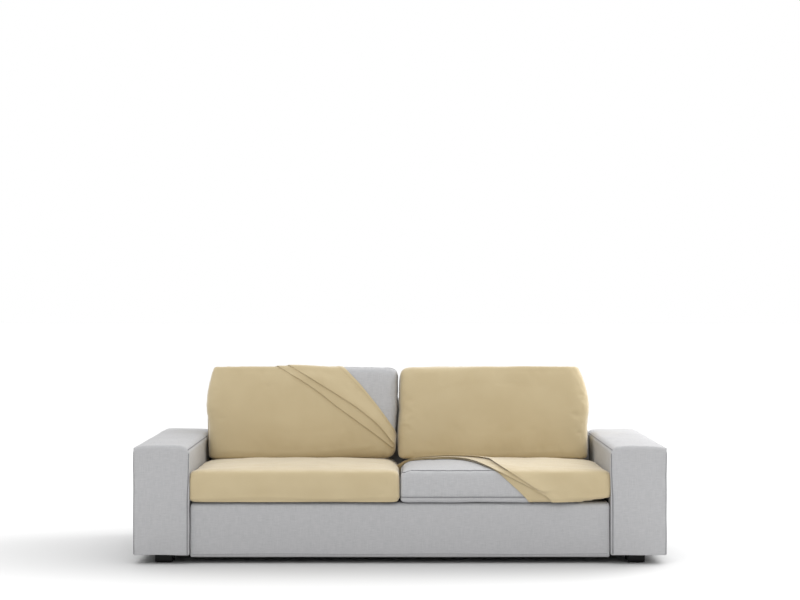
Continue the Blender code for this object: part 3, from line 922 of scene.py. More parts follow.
    def loop_at(self, height: float, dip: float) -> Array:
        """A closed loop round the cushion at one height of its own.

        Args:
            height: Height in its own axes.
            dip: How far the loop comes down towards the left and right sides.

        Returns:
            The points in the sofa.
        """
        angle = np.linspace(0, 2 * np.pi, LOOP_POINTS, endpoint=False)
        cosine, sine = np.cos(angle), np.sin(angle)
        rim = np.maximum(np.abs(cosine), np.abs(sine))
        u, v = cosine / rim, sine / rim
        back = 1.0 + 1.8 * ease((v + 0.96) / 0.35)
        w = height - dip * back * ease((np.abs(u) - 0.965) / 0.035)
        way = stacked(u * self.half_width, v * self.half_length, 0.0)
        return self.to_sofa(self.cast(stacked(0.0, 0.0, w), way, 0.0))


class Mouth(Enum):
    """Where a section's line of stations is open."""

    CLOSED = "closed"
    REAR = "rear"
    LOW = "low"


@dataclass(frozen=True)
class Line:
    """Stations round a section, as arrays of the same length.

    Attributes:
        share: -1 at the low end of the section, +1 at its high end.
        angle: 0 looks along the section outwards, a quarter turn to the face.
        drop: How far a station's base is lowered, as a share of the rear thickness.
        closed: Whether its last station joins its first.
    """

    share: Array
    angle: Array
    drop: Array
    closed: bool

    @classmethod
    def make(cls, rows: int, wraps: int, mouth: Mouth = Mouth.CLOSED) -> Line:
        """Lay out the stations.

        Args:
            rows: Stations on the face.
            wraps: Stations round each quarter turn at the ends.
            mouth: Where the line is open.

        Returns:
            The line.
        """
        quarter, row = np.pi / 2, np.linspace(-1.0, 1.0, rows)
        spread = np.linspace(-1.0, 1.0, wraps + 2)[1:-1]
        run = 1.0 - np.sign(spread) * np.abs(spread) ** 1.3
        turn = np.where(run < 1.0, np.arctan(run), quarter - np.arctan(2.0 - run))
        face, behind = stacked(row, quarter, 0.0), stacked(row[::-1], -quarter, 0.0)
        upper, lower = stacked(1.0, turn, 0.0), stacked(1.0, -turn[::-1], 0.0)
        low_upper, low_lower = stacked(-1.0, turn[::-1], 0.0), stacked(-1.0, -turn, 0.0)
        stops = [low_upper, face, upper, lower, behind, low_lower]
        if mouth is Mouth.REAR:
            drops = np.linspace(0.0, 0.95, 13)[1:]
            stops = [stacked(-1.0, 0.0, drops[::-1]), *stops[:3], stacked(1.0, 0.0, drops)]
        elif mouth is Mouth.LOW:
            cut = wraps // 4
            stops[0], stops[-1] = low_upper[cut:], low_lower[:-cut]
        return cls(*np.concatenate(stops).T, mouth is Mouth.CLOSED)


@dataclass
class Skin:
    """A surface of sections over a cushion.

    Attributes:
        form: The cushion.
        line: Stations round each section.
        sections: Number of sections.
        place: Gives each section's u from v, w and the height.
    """

    form: CushionForm
    line: Line
    sections: int
    place: Place

    @classmethod
    def walled(cls, form: CushionForm, line: Line, inner: int) -> Skin:
        """Sections that follow the cushion's sides at shares of its half width.

        Args:
            form: The cushion.
            line: Stations round each section.
            inner: Sections on each side of the middle, before those close to its ends.

        Returns:
            The skin.
        """
        middle = np.sin(np.linspace(0.0, 1.0, inner + 1)[1:-1] * np.pi / 2) * RIM[0]
        half = np.concatenate([middle, RIM])
        column = np.concatenate([-half[::-1], [0.0], half])[:, None]
        side = np.where(column < 0, -1.0, 1.0)
        return cls(form, line, len(column),
                   lambda v, w, grow: column * (form.side_reach(v, side) + grow))

    def at(self, height: Array | float = 0.0, across: Array | float = 0.0) -> Array:
        """Surface points of the sections.

        Args:
            height: Distance of each station off the form.
            across: Shift of each station along u.

        Returns:
            Points in own axes, one row for each section.
        """
        form, place, share = self.form, self.place, self.line.share
        nought = np.zeros((self.sections, len(share)))
        height = nought + height
        start = stacked(place(nought, nought, height) + across, 0.0, 0.0)
        down_u = place(nought, nought - form.rear, nought) - place(nought, nought, nought)
        below = form.cast(start, stacked(down_u, 0.0, -form.rear), height)[..., 2]
        w = (below + height) * self.line.drop

        def spot(v: Array) -> Array:
            """Points inside the sections at v."""
            return stacked(place(v, w, height) + across, v, w)

        low, high = (side * bisected(lambda far: form.fullness(spot(side * far), height) < 1.0,
                                     1.2 * (form.half_length + height)) for side in (-1.0, 1.0))
        inset = np.minimum(BASE_INSET * min(form.face, form.rear), BASE_LIMIT * (high - low))
        v = low + inset + (high - low - 2 * inset) * (share + 1.0) / 2
        step = SLOPE_STEP
        slope = (place(v + step, w, height) - place(v - step, w, height)) / step / 2
        rise = (place(v, w + step, height) - place(v, w - step, height)) / step / 2
        outwards = np.where(share > 0, 1.0, -1.0) * np.cos(self.line.angle) * inset
        upwards = np.sin(self.line.angle) * inset
        return form.cast(spot(v), stacked(slope * outwards + rise * upwards, outwards, upwards),
                         height)


SEAT = dict(lean=False, half_length=0.3830, face=0.0712,
            rear=SEAT_MID - DECK_HEIGHT - CLEARANCE, corners=(44, 44, 20, 20), powers=(4, 10),
            sides=(44, 44), crown_side=3.8, crown_front=22, brow=5, squeeze=0.0027, sag=0.020,
            puff=0.003)
BACK = dict(lean=True, half_length=0.199, face=0.1155, rear=BACK_REAR, powers=(4, 3),
            crown_side=16, foot=0.046, dome=0.13)
FORMS = {
    "seat_left": CushionForm(centre=(-0.4544, SEAT_Y, SEAT_MID), half_width=0.4484,
                             shoulder=(0.014, 0.038), **SEAT),
    "seat_right": CushionForm(centre=(0.4530, SEAT_Y, SEAT_MID), half_width=0.4508,
                              shoulder=(0.034, 0.012), lift=0.026, **SEAT),
    "back_left": CushionForm(centre=(-0.4578, BACK_Y, BACK_Z), half_width=0.4463,
                             corners=(34, 7, 60, 15), sides=(30, 24), squeeze=0.002,
                             draw=(0.030, -0.002), tuck=(0.014, 0.008), **BACK),
    "back_right": CushionForm(centre=(0.4415, BACK_Y, BACK_Z), half_width=0.4425,
                              corners=(30, 30, 10, 70), sides=(24, 30), squeeze=0.0015,
                              draw=(0.004, 0.048), tuck=(-0.006, 0.010), **BACK),
}


def smooth_table(knots: Sequence[Pair], blur: float) -> tuple[Array, Array]:
    """Turn a few knots into a smooth table that runs on straight past both ends.

    Args:
        knots: Places and values, places rising.
        blur: Distance over which the corners are rounded.

    Returns:
        Places and values of the table.
    """
    places, values = np.array(knots).T
    grid = np.linspace(-TABLE_REACH, TABLE_REACH, round(2 * TABLE_REACH / TABLE_STEP) + 1)
    first, last = [(values[k + 1] - values[k]) / (places[k + 1] - places[k]) for k in (0, -2)]
    table = np.interp(grid, places, values) + first * np.minimum(grid - places[0], 0)
    table += last * np.maximum(grid - places[-1], 0)
    reach = int(3 * blur / TABLE_STEP)
    weights = np.exp(-0.5 * (np.arange(-reach, reach + 1) * TABLE_STEP / blur) ** 2)
    padded = np.pad(table, reach, mode="reflect", reflect_type="odd")
    return grid, np.convolve(padded, weights / weights.sum(), mode="valid")


@dataclass(frozen=True)
class Edge:
    """A line over a cushion, u as a sum of what v and w give.

    Attributes:
        along: V and the line's u on the face.
        rise: W and what it adds to u, or nothing.
    """

    along: tuple[Pair, ...]
    rise: tuple[Pair, ...] = ()

    @cached_property
    def tables(self) -> list[tuple[Array, Array]]:
        """Tables of both sums."""
        sums = ((self.along, 0.014), (self.rise, 0.006))
        return [smooth_table(knots, blur) for knots, blur in sums if knots]

    def place(self, v: Array, w: Array) -> Array:
        """U of the edge at v and w."""
        return sum(np.interp(part, *table) for part, table in zip((v, w), self.tables))


SEAT_EDGES = {
    "hem": Edge(((-0.380, -0.060), (-0.267, -0.0974), (-0.105, -0.1408), (-0.030, -0.178),
                 (0.015, -0.225), (0.045, -0.300), (0.065, -0.380), (0.080, -0.460)),
                ((-0.0763, 0.1602), (-0.0532, 0.1425), (-0.0284, 0.1153), (0.0064, 0.0784),
                 (0.0430, 0.0416), (0.0619, 0.012), (0.0746, 0.0))),
    "fold_1": Edge(((-0.380, -0.027), (-0.3086, -0.0385), (-0.1726, -0.0676), (-0.060, -0.100),
                    (0.000, -0.145), (0.040, -0.225), (0.065, -0.305), (0.083, -0.385),
                    (0.096, -0.460)),
                   ((-0.0822, 0.228), (-0.0684, 0.2215), (-0.0492, 0.2015), (-0.0297, 0.170),
                    (-0.0099, 0.133), (0.0111, 0.0911), (0.0333, 0.0590), (0.0578, 0.0225),
                    (0.0746, 0.0))),
    "fold_2": Edge(((-0.380, 0.030), (-0.3325, 0.0240), (-0.1459, 0.0078), (-0.041, -0.0348),
                    (0.020, -0.100), (0.055, -0.185), (0.082, -0.290), (0.098, -0.375),
                    (0.112, -0.460)),
                   ((-0.080, 0.192), (-0.050, 0.163), (-0.020, 0.105), (0.0064, 0.0637),
                    (0.0333, 0.0342), (0.050, 0.0205), (0.0746, 0.0))),
}
BACK_EDGES = {
    "fold_1": Edge(((-0.179, 0.4122), (-0.160, 0.3895), (-0.1305, 0.3528), (-0.0642, 0.2607),
                    (0.0017, 0.1689), (0.0757, 0.0765), (0.1083, 0.0300), (0.1392, -0.0167),
                    (0.1583, -0.0540), (0.1771, -0.1002), (0.1868, -0.1374), (0.1960, -0.1850))),
    "fold_2": Edge(((-0.1787, 0.4330), (-0.1476, 0.4130), (-0.1118, 0.3858), (-0.0755, 0.3527),
                    (-0.001, 0.2605), (0.0593, 0.1685), (0.1159, 0.0760), (0.1392, 0.0388),
                    (0.1631, 0.0016), (0.1838, -0.0358), (0.1950, -0.0690), (0.2000, -0.1013))),
    "hem": Edge(((-0.150, 0.4650), (-0.1168, 0.4396), (-0.0832, 0.4215), (-0.0385, 0.3894),
                 (0.0115, 0.3526), (0.0578, 0.3156), (0.1040, 0.2786), (0.1462, 0.2414),
                 (0.1702, 0.2043), (0.1919, 0.1668))),
}


# ---------------------------------------------------------------- simulated cloth
@dataclass(frozen=True)
class FillingPressure:
    """Cloth simulation of a cushion's case blown tight by its filling, its piped seams held.

    It runs on an even mesh of the form. The form already has the bulge, so only the pulls and
    puckers are kept.
    """

    cap: float                      # largest height of a pucker
    pressure: float = 4.0
    frames: int = 20
    voxel: float = 0.011
    slack: float = 0.03             # surplus of the case over its filling
    spread: int = 24                # passes of smoothing that part the bulge from the puckers

    def blow(self, case: Item, held: Array) -> Array:
        """Run the simulation and remove the case.

        Args:
            case: The even mesh.
            held: Numbers of the points on seams and on what the cushion lies against.

        Returns:
            The points after the last frame.
        """
        pins = case.vertex_groups.new(name="piping")
        pins.add(held.tolist(), 1.0, "REPLACE")
        cloth = case.modifiers.new("pressure", "CLOTH")
        cloth.point_cache.frame_start, cloth.point_cache.frame_end = 1, self.frames
        cloth.collision_settings.use_collision = False
        settings = cloth.settings
        settings.quality, settings.mass = 6, 0.2
        settings.tension_stiffness = settings.compression_stiffness = 12.0
        settings.shear_stiffness, settings.bending_stiffness = 5.0, 0.15
        settings.use_pressure, settings.uniform_pressure_force = True, self.pressure
        settings.shrink_min = -self.slack
        settings.effector_weights.gravity = 0.0
        settings.vertex_group_mass = pins.name
        for number in range(1, self.frames + 1):
            bpy.context.scene.frame_set(number)
        blown = read(case.evaluated_get(
            bpy.context.evaluated_depsgraph_get()).data.vertices, "co")
        bpy.data.objects.remove(case)
        bpy.context.scene.frame_set(1)
        return blown

    def puckers(self, form: CushionForm, seams: Pair) -> tuple[Array, Array]:
        """Simulate one cushion.

        Args:
            form: Its shape.
            seams: Heights of its piped seams.

        Returns:
            Places in its own axes and the height of the puckers there.
        """
        points = Skin.walled(form, Line.make(*CASE[:2]), CASE[2]).at()
        rough = mesh_object("case_form", points, shut(numbered(points), True), [])
        even = rough.modifiers.new("even", "REMESH")
        even.mode, even.voxel_size = "VOXEL", self.voxel
        case = linked("case", applied(rough))
        rest, normals = (read(items, name) for items, name in (
            (case.data.vertices, "co"), (case.data.vertex_normals, "vector")))
        gap = np.min([np.abs(rest[:, 2] - height) for height in seams], axis=0)
        border = np.abs(normals[:, 2]) < 0.75
        held = np.flatnonzero((border & (gap < 0.55 * self.voxel)) | (normals[:, 2] < -0.9))
        starts, ends = read(case.data.edges, "vertices", 2, int).T
        swell = np.einsum("ij,ij->i", self.blow(case, held) - rest, normals)
        smooth = swell
        links = np.bincount(np.concatenate([starts, ends]), minlength=len(rest))
        for _ in range(self.spread):
            total = sum(np.bincount(one, smooth[other], len(rest))
                        for one, other in ((starts, ends), (ends, starts)))
            smooth = 0.4 * smooth + 0.6 * total / np.maximum(links, 1)
        fine = swell - smooth
        LOG.info("puckers: bulge %.1f mm, rms %.2f mm", 1000 * swell.max(), 1000 * fine.std())
        return rest, self.cap * np.tanh(fine / self.cap)


class Lie:
    """How a cushion's cloth lies: the puckers of its simulated case and soft unevenness."""

    def __init__(self, form: CushionForm, seams: Pair, seed: int, cap: float) -> None:
        """Args:
            form: The cushion's shape.
            seams: Heights of its piped seams.
            seed: Seed of the unevenness.
            cap: Largest height of a pucker.
        """
        self.soft = Ripples(0.0006, 0.19, seed)
        self.tree: KDTree | None = None
        places, self.heights = FillingPressure(cap).puckers(form, seams)
        self.tree = KDTree(len(places))
        for number, place in enumerate(places):
            self.tree.insert(place, number)
        self.tree.balance()

    def at(self, points: Array) -> Array:
        """Height of the cloth over the plain form at points in the form's own axes.

        Args:
            points: Points in the form's own axes.

        Returns:
            The heights.
        """
        total = self.soft.at(points)
        if self.tree is None:
            return total
        found = []
        for point in points.reshape(-1, 3).tolist():
            near = self.tree.find_n(point, NEIGHBOURS)
            weights = [1.0 / (gap * gap + NEAR) for _, _, gap in near]
            heights = [self.heights[number] for _, number, _ in near]
            found.append(sum(w * h for w, h in zip(weights, heights)) / sum(weights))
        return total + np.array(found).reshape(total.shape)


# ---------------------------------------------------------------- cushions
@dataclass
class Cushion:
    """A filled cushion in woven cloth, with piping round its two edges where it is bare.

    Attributes:
        name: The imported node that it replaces.
        form: Its shape.
        lie: How its cloth lies.
        pipes: Heights of its piping loops in its own axes.
        hem: Edge of a half-on cover, or None where it is all covered.
        side: Covered side of that edge, -1 left or +1 right.
        density: Stations on the face and round each quarter turn, sections beside the middle.
    """

    name: str
    form: CushionForm
    lie: Lie
    pipes: tuple[float, ...] = ()
    hem: Edge | None = None
    side: float = 1.0
    density: tuple[int, int, int] = COARSE

    def press(self, free: Array, line: Line) -> Array:
        """Height of the cloth: pressed in where it is covered, plain where it is bare.

        Args:
            free: Points of the free shape in own axes.
            line: Stations of its sections.

        Returns:
            Heights off the free shape.
        """
        covered: Array | float = 1.0
        if self.hem:
            past = (free[..., 0] - self.hem.place(free[..., 1], free[..., 2])) * self.side
            covered = ease((past - 0.005) / 0.03)
        pressed = -covered * (self.form.squeeze + EDGE_SQUEEZE * self.form.edge_share(free))
        under = (line.angle <= -1.57) & (not self.form.lean)
        return np.where(under, 0.0, pressed + self.lie.at(free))

    def build(self, finishes: Finishes, piping: LineDetail) -> list[Item]:
        """Make the cushion, and its piping if it has any.

        Args:
            finishes: The set's materials.
            piping: What sews its piping.

        Returns:
            The cushion, then its piping.
        """
        form, (rows, wraps, inner) = self.form, self.density
        line = Line.make(rows, wraps)
        skin = Skin.walled(form, line, inner)
        points = form.to_sofa(skin.at(self.press(skin.at(), line)))
        item = mesh_object(self.name + "_filled", points, shut(numbered(points), True),
                           [finishes.cushion])
        loops = [seam(form.loop_at(w, 0.008 if w > 0 and not form.lean else 0.0), item,
                      depth=2.4, width=5.0, lift=0.9) for w in self.pipes]
        lay_cloth(item, BACK_LEAN * form.lean)
        if not loops:
            return [item]
        # The piping is sewn in the darkened piping cloth: painted shade along the seams.
        return [item, piping.sew(self.name + "_piping", loops, True, PIPE_RADIUS, PIPE_STEP,
                                 finishes.piping)]


# ---------------------------------------------------------------- covers
@dataclass
class Cover:
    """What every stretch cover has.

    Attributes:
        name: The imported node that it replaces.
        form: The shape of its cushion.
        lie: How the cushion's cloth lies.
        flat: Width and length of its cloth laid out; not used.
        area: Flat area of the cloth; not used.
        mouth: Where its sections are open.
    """

    name: str
    form: CushionForm
    lie: Lie
    flat: Pair
    area: float
    mouth: Mouth

    def relief(self, free: Array) -> Array:
        """Height of the cloth's lie over the cushion, with the seam of its front.

        Args:
            free: Points in the form's own axes.

        Returns:
            The heights.
        """
        total = self.lie.at(free)
        if not self.form.lean:
            u, v, w = np.moveaxis(free, -1, 0)
            low = w + 0.056 + 0.003 * np.sin(11.0 * u)
            ridge = 2.4 * hump(low, 0.005) - 1.8 * hump(low + 0.011, 0.007)
            total += ease((-v - 0.30) / 0.05) * MM * ridge
        return total

    def sheet(self, shells: Sequence[Array], closed: bool, caps: tuple[bool, bool],
              finishes: Finishes) -> Item:
        """One closed sheet of cloth from its outer and inner rings.

        Args:
            shells: Outer and inner rings in the sofa.
            closed: Whether each ring is a loop.
            caps: Whether the first and the last ring are closed across.
            finishes: The set's materials.

        Returns:
            The sheet.
        """
        outer, inner = numbered(shells[0]), numbered(shells[1], shells[0][..., 0].size)
        faces = loft(outer, closed) + loft(inner, closed)
        for one, other, capped in zip(outer[[0, -1]], inner[[0, -1]], caps):
            if capped:
                faces += ladder(one) + ladder(other)
                one, other = one[[0, -1]], other[[0, -1]]
            if not (capped and closed):
                faces += strip(one, other, closed)
        if not closed:
            for spot in (0, -1):
                faces += strip(outer[:, spot], inner[:, spot], False)
        item = mesh_object(self.name + "_cloth", np.array(shells), faces, [finishes.cover], 70.0)
        lay_cloth(item, BACK_LEAN * self.form.lean)
        return item

    def build(self, finishes: Finishes, stitches: LineDetail) -> list[Item]:
        """Make the cover, fully on: its mouth is out of sight, so it has no stitches.

        Args:
            finishes: The set's materials.
            stitches: What sews a hem's stitches; not used here.

        Returns:
            The cover alone, in a list.
        """
        line = Line.make(COVER_ROWS, COVER_WRAPS, self.mouth)
        skin = Skin.walled(self.form, line, COVER_SECTIONS)
        lie = self.relief(skin.at(COVER_GAP))
        shells = [self.form.to_sofa(skin.at(depth + lie))
                  for depth in (COVER_GAP + CLOTH, COVER_GAP)]
        return [self.sheet(shells, False, (True, True), finishes)]


@dataclass(frozen=True)
class Row:
    """One section of a half-on cover, in travel order from its left end to its right.

    Attributes:
        first: Edge that it starts from, "wall" for the closed side.
        second: Edge that it is blended towards.
        blend: 0 on the first edge, 1 on the second.
        shift: Distance past the edge with the fold lying over.
        ramp: The same with the fold drawn out flat.
        level: Layers above the last whole level.
        folds: Whole folds passed on the way here.
        settle: Share of the stack's height that is left.
        wall: Share of the half width at which the closed side is.
        raised: Extra height of the hem.
    """

    first: str
    second: str
    blend: float = 0.0
    shift: float = 0.0
    ramp: float = 0.0
    level: float = 0.0
    folds: int = 0
    settle: float = 1.0
    wall: float = RIM[0]
    raised: float = 0.0

    @property
    def edge(self) -> str:
        """The edge that it lies on, or nothing between two edges."""
        return {0.0: self.first, 1.0: self.second}.get(self.blend, "")


def fold_rows(edge: str, passed: int) -> list[Row]:
    """The sections of one fold, lying back over itself with rounded turns.

    Args:
        edge: Edge of the fold.
        passed: Folds before this one.

    Returns:
        The rows in travel order.
    """
    radius = LAYER_PITCH / 2
    turn = np.radians((-90, -45, 0, 45, 90))
    far = [(FOLD_DEPTH + radius * math.cos(a), 0.5 + 0.5 * math.sin(a)) for a in turn]
    near = [(0.0018 - radius * math.cos(a), 1.5 + 0.5 * math.sin(a)) for a in turn]
    way = [(shift, 0.0) for shift in (-0.010, -0.004, 0.002, 0.007)]
    way += far + [(0.007, 1.0)] + near + [(0.005, 2.0)]
    return [Row(edge, edge, 0.0, shift, ramp, level, passed)
            for (shift, level), ramp in zip(way, np.linspace(-0.018, 0.009, len(way)))]


@dataclass
class HalfOnCover(Cover):
    """A cover half pulled on, its surplus in two folds beside the hem.

    Attributes:
        edges: Its hem and folds, in travel order.
        side: The closed side, -1 left or +1 right.
        rows: Stations on the face.
    """

    edges: dict[str, Edge] = field(default_factory=dict)
    side: float = 1.0
    rows: int = 70

    @staticmethod
    def wall_rows(folds: int) -> list[Row]:
        """Sections that close the cover's end, from the wall's rim to its middle."""
        return [Row("wall", "wall", folds=folds, settle=0.0, wall=share) for share in RIM]

    def sections(self) -> list[Row]:
        """Every section of the cover; the two kinds of cover lay them out."""
        raise NotImplementedError

    def drawn(self, name: str, path: Array) -> Array:
        """How far a fold is drawn up at points of its path, from 0, flat, to 1."""
        raise NotImplementedError

    def pitch(self, path: Array) -> Array:
        """Distance between the layers of a fold at points of its path."""
        raise NotImplementedError

    def skin(self, rows: list[Row]) -> Skin:
        """The surface that the cover's sections lie on.

        Args:
            rows: The sections in travel order.

        Returns:
            The surface.
        """
        names = ["wall", *self.edges]
        first, second = ([names.index(name) for name in part]
                         for part in zip(*((row.first, row.second) for row in rows)))
        blend, wall = (np.array(part)[:, None]
                       for part in zip(*((row.blend, self.side * row.wall) for row in rows)))
        order = np.arange(len(rows))

        def place(v: Array, w: Array, grow: Array) -> Array:
            """U of each section and station.

            Args:
                v: Places along the cushion.
                w: Places out of its face.
                grow: Distance off the form.

            Returns:
                The places across.
            """
            v, w = np.broadcast_arrays(v + 0.0 * wall, w + 0.0 * wall)
            lines = np.stack([wall * (self.form.side_reach(v, self.side) + grow),
                              *(edge.place(v, w) for edge in self.edges.values())])
            return lines[first, order] + (lines[second, order] - lines[first, order]) * blend

        return Skin(self.form, Line.make(self.rows, COVER_WRAPS, self.mouth), len(rows), place)

    def lay(self, rows: list[Row], plain: Array, slant: Array) -> tuple[Array, Array]:
        """Lay the sections into their folds.

        Args:
            rows: The sections.
            plain: Their points with no fold laid.
            slant: How square each section's stations run to the sofa's width.

        Returns:
            Shift of each station along u, and its height.
        """
        folds = [name for name in self.edges if name != "hem"]
        paths = {name: [row.edge for row in rows].index(name) for name in self.edges}
        numbers = list(paths.values())
        leans = slant[numbers]
        gaps = np.abs(np.diff(plain[numbers, :, 0], axis=0)) * (leans[1:] + leans[:-1]) / 2
        room = blurred(np.clip(gaps.min(axis=0) / ROOMY, 0.42, 1.0))
        drawn = {name: 2.0 * self.drawn(name, plain[paths[name]]) for name in folds}
        pitch = self.pitch(plain[paths[folds[0]]])
        shift, height = np.zeros(slant.shape), np.zeros(slant.shape)
        for number, row in enumerate(rows):
            ends = [(row.first, 1.0, row.ramp, row.shift)]
            if row.first != row.second:
                ends = [(row.first, 1.0 - row.blend, *LEAD_OUT), (row.second, row.blend, *LEAD_IN)]
            for name, share, flat, laid in ends:
                if name in folds:
                    lying = flat + (laid - flat) * ease(drawn[name] - 1.0)
                    shift[number] += share * lying * room / slant[number]
            layers = sum(2.0 * ease(drawn[name]) for name in folds[:row.folds])
            if row.level:
                layers = layers + row.level * ease(drawn[row.first])
            height[number] = COVER_GAP + CLOTH / 2 + pitch * layers * row.settle + row.raised
        return shift, height

    def build(self, finishes: Finishes, stitches: LineDetail) -> list[Item]:
        """Make the cover and the stitches of its hem.

        Args:
            finishes: The set's materials.
            stitches: What sews a hem's stitches.

        Returns:
            The cover, then its stitches.
        """
        rows = self.sections()
        skin = self.skin(rows)
        plain = skin.at(COVER_GAP + CLOTH / 2)
        run = unit(np.gradient(plain, axis=1), 1e-9)
        slant = np.clip(blurred(np.linalg.norm(run[..., 1:], axis=-1)), 0.22, 1.0)
        shift, height = self.lay(rows, plain, slant)
        middle = skin.at(height, shift)
        run = unit(np.gradient(middle, axis=1), 1e-9)
        aside = unit(np.array([1.0, 0.0, 0.0]) - run[..., :1] * run, 0.2)
        travel = np.einsum("ijk,ijk->ij", np.diff(middle, axis=0), (aside[1:] + aside[:-1]) / 2)
        height = height + self.relief(middle)
        step = unit(stacked(travel + 1e-5, np.diff(height, axis=0)), 1e-7)
        mitre = np.concatenate([step[:1], step]) + np.concatenate([step, step[-1:]])
        mitre /= np.maximum(np.linalg.norm(mitre, axis=-1, keepdims=True), 1.2) ** 2 / CLOTH
        across, out = mitre[..., 1] / slant, mitre[..., 0]
        shells = [self.form.to_sofa(skin.at(height + way * out, shift - way * across))
                  for way in (1, -1)]
        item = self.sheet(shells, skin.line.closed, (self.side < 0, self.side > 0), finishes)
        hem_row = HEM_SEAM if self.side > 0 else -HEM_SEAM - 1
        hem = settle_path(shells[0][hem_row], item, STITCH_LIFT)
        return [item, stitches.sew(self.name + "_hem_stitches", [hem], skin.line.closed,
                                   STITCH_RADIUS, STITCH_STEP, finishes.thread)]


class HalfSeatCover(HalfOnCover):
    """The right seat's cover, pulled on from the right: hem, two folds, then the fitted part."""

    def sections(self) -> list[Row]:
        """Every section from the hem to the closed side.

        Returns:
            The sections.
        """
        hem = ((0.0, 0.0003), (0.02, 0.0012), (0.06, 0.0018), (0.13, 0.0016), (0.18, 0.0003),
               (0.23, 0.0006), (0.32, 0.0), (0.43, 0.0), (0.55, 0.0), (0.68, 0.0))
        body = (*np.linspace(0.02, 0.4, 22), *np.linspace(0.43, 0.97, 20))
        return [*(Row("hem", "fold_1", blend, raised=raised) for blend, raised in hem),
                *fold_rows("fold_1", 0), Row("fold_1", "fold_2", 0.5, folds=1),
                *fold_rows("fold_2", 1),
                *(Row("fold_2", "wall", blend, folds=2,
                      settle=math.exp(-(blend / 0.15) ** 1.5)) for blend in body),
                *self.wall_rows(2)]

    def relief(self, free: Array) -> Array:
        """Height of the cloth, with the pulls that fan out from the folds over the front.

        Args:
            free: Points in the form's own axes.

        Returns:
            The heights.
        """
        total = super().relief(free)
        u, v, w = np.moveaxis(free, -1, 0)
        front = ease((-v - 0.31) / 0.04)
        for start, slope, reach in ((0.012, 0.10, 0.16), (-0.002, -0.09, 0.20),
                                    (-0.012, -0.30, 0.14), (0.030, 0.22, 0.12)):
            share = np.clip((u - 0.075) / reach, 0.0, 1.0)
            line = w - start - slope * (u - 0.075)
            total += front * 2.1 * MM * ease(share / 0.2) * (1 - share) * hump(
                line, 0.005 + 0.008 * share)
        return total

    def drawn(self, name: str, path: Array) -> Array:
        """The folds run out on the cushion's far side; the second also down its front.

        Args:
            name: The fold.
            path: Points of its path.

        Returns:
            The share at each point.
        """
        u, v, w = path.T
        side = np.where((u < -0.43) | (v > 0.30), ease((w + 0.04) / 0.06), 1.0)
        low, run_out = (0.040, 0.035) if name == "fold_2" else (0.085, 0.012)
        return side * np.where(v < -0.30, ease((w + low) / run_out), 1.0)

    def pitch(self, path: Array) -> Array:
        """The folds stand prouder down the cushion's front."""
        return LAYER_PITCH * (1.0 + 0.35 * ease((-path[:, 1] - 0.33) / 0.03))


class HalfBackCover(HalfOnCover):
    """The left back's cover, pulled on from the left: fitted part, two folds, then the hem."""

    def sections(self) -> list[Row]:
        """Every section from the closed side to the hem.

        Returns:
            The sections.
        """
        body = (*np.linspace(0.02, 0.80, 30), *np.linspace(0.83, 0.985, 8))
        between = ((0.25, 0.98), (0.4, 0.96), (0.55, 0.95), (0.7, 0.95))
        hem = (*((blend, 0.0) for blend in np.linspace(0.08, 0.82, 20)), (0.85, 0.0004),
               (0.875, 0.0006), (0.89, 0.0003), (0.91, 0.0016), (0.95, 0.0018), (0.98, 0.0012),
               (1.0, 0.0003))
        return [*self.wall_rows(0)[::-1], *(Row("wall", "fold_1", blend) for blend in body),
                *fold_rows("fold_1", 0),
                *(Row("fold_1", "fold_2", blend, folds=1, settle=settle)
                  for blend, settle in between),
                *fold_rows("fold_2", 1),
                *(Row("fold_2", "hem", blend, folds=2, settle=float(1.0 - ease(blend)),
                      raised=raised) for blend, raised in hem)]

    def drawn(self, name: str, path: Array) -> Array:
        """The folds show on the face, run out above its low corner and go over its top."""
        lowest = -0.194 if name == "fold_1" else -0.160
        return ease((path[:, 2] - 0.035) / 0.045) * ease((path[:, 1] - lowest) / 0.040)

    def pitch(self, path: Array) -> Array:
        """The layers lie tight where they go over the top."""
        return LAYER_PITCH * (1.0 - 0.5 * ease((path[:, 1] - 0.12) / 0.05))


# ---------------------------------------------------------------- the sofa's frame
def arc(centre: Pair, radius: float, start: float, end: float, steps: int) -> list[Pair]:
    """Points of an arc in a section, angles in degrees."""
    angles = np.radians(np.linspace(start, end, steps))
    return [(centre[0] + radius * math.cos(a), centre[1] + radius * math.sin(a)) for a in angles]


def spread_outline(outline: Sequence[Pair], longest: float) -> Array:
    """Add points to a closed outline so that no side is longer than a limit.

    Args:
        outline: Its corners.
        longest: The limit.

    Returns:
        The outline's points.
    """
    points: list[Array] = []
    corners = np.array(outline)
    for start, end in zip(corners, np.roll(corners, -1, axis=0)):
        parts = max(1, math.ceil(np.linalg.norm(end - start) / longest))
        points += [start + (end - start) * part / parts for part in range(parts)]
    return np.array(points)


class Run(Enum):
    """Which way the outline of a frame's block is run."""

    ACROSS = "X"
    DEEP = "Y"


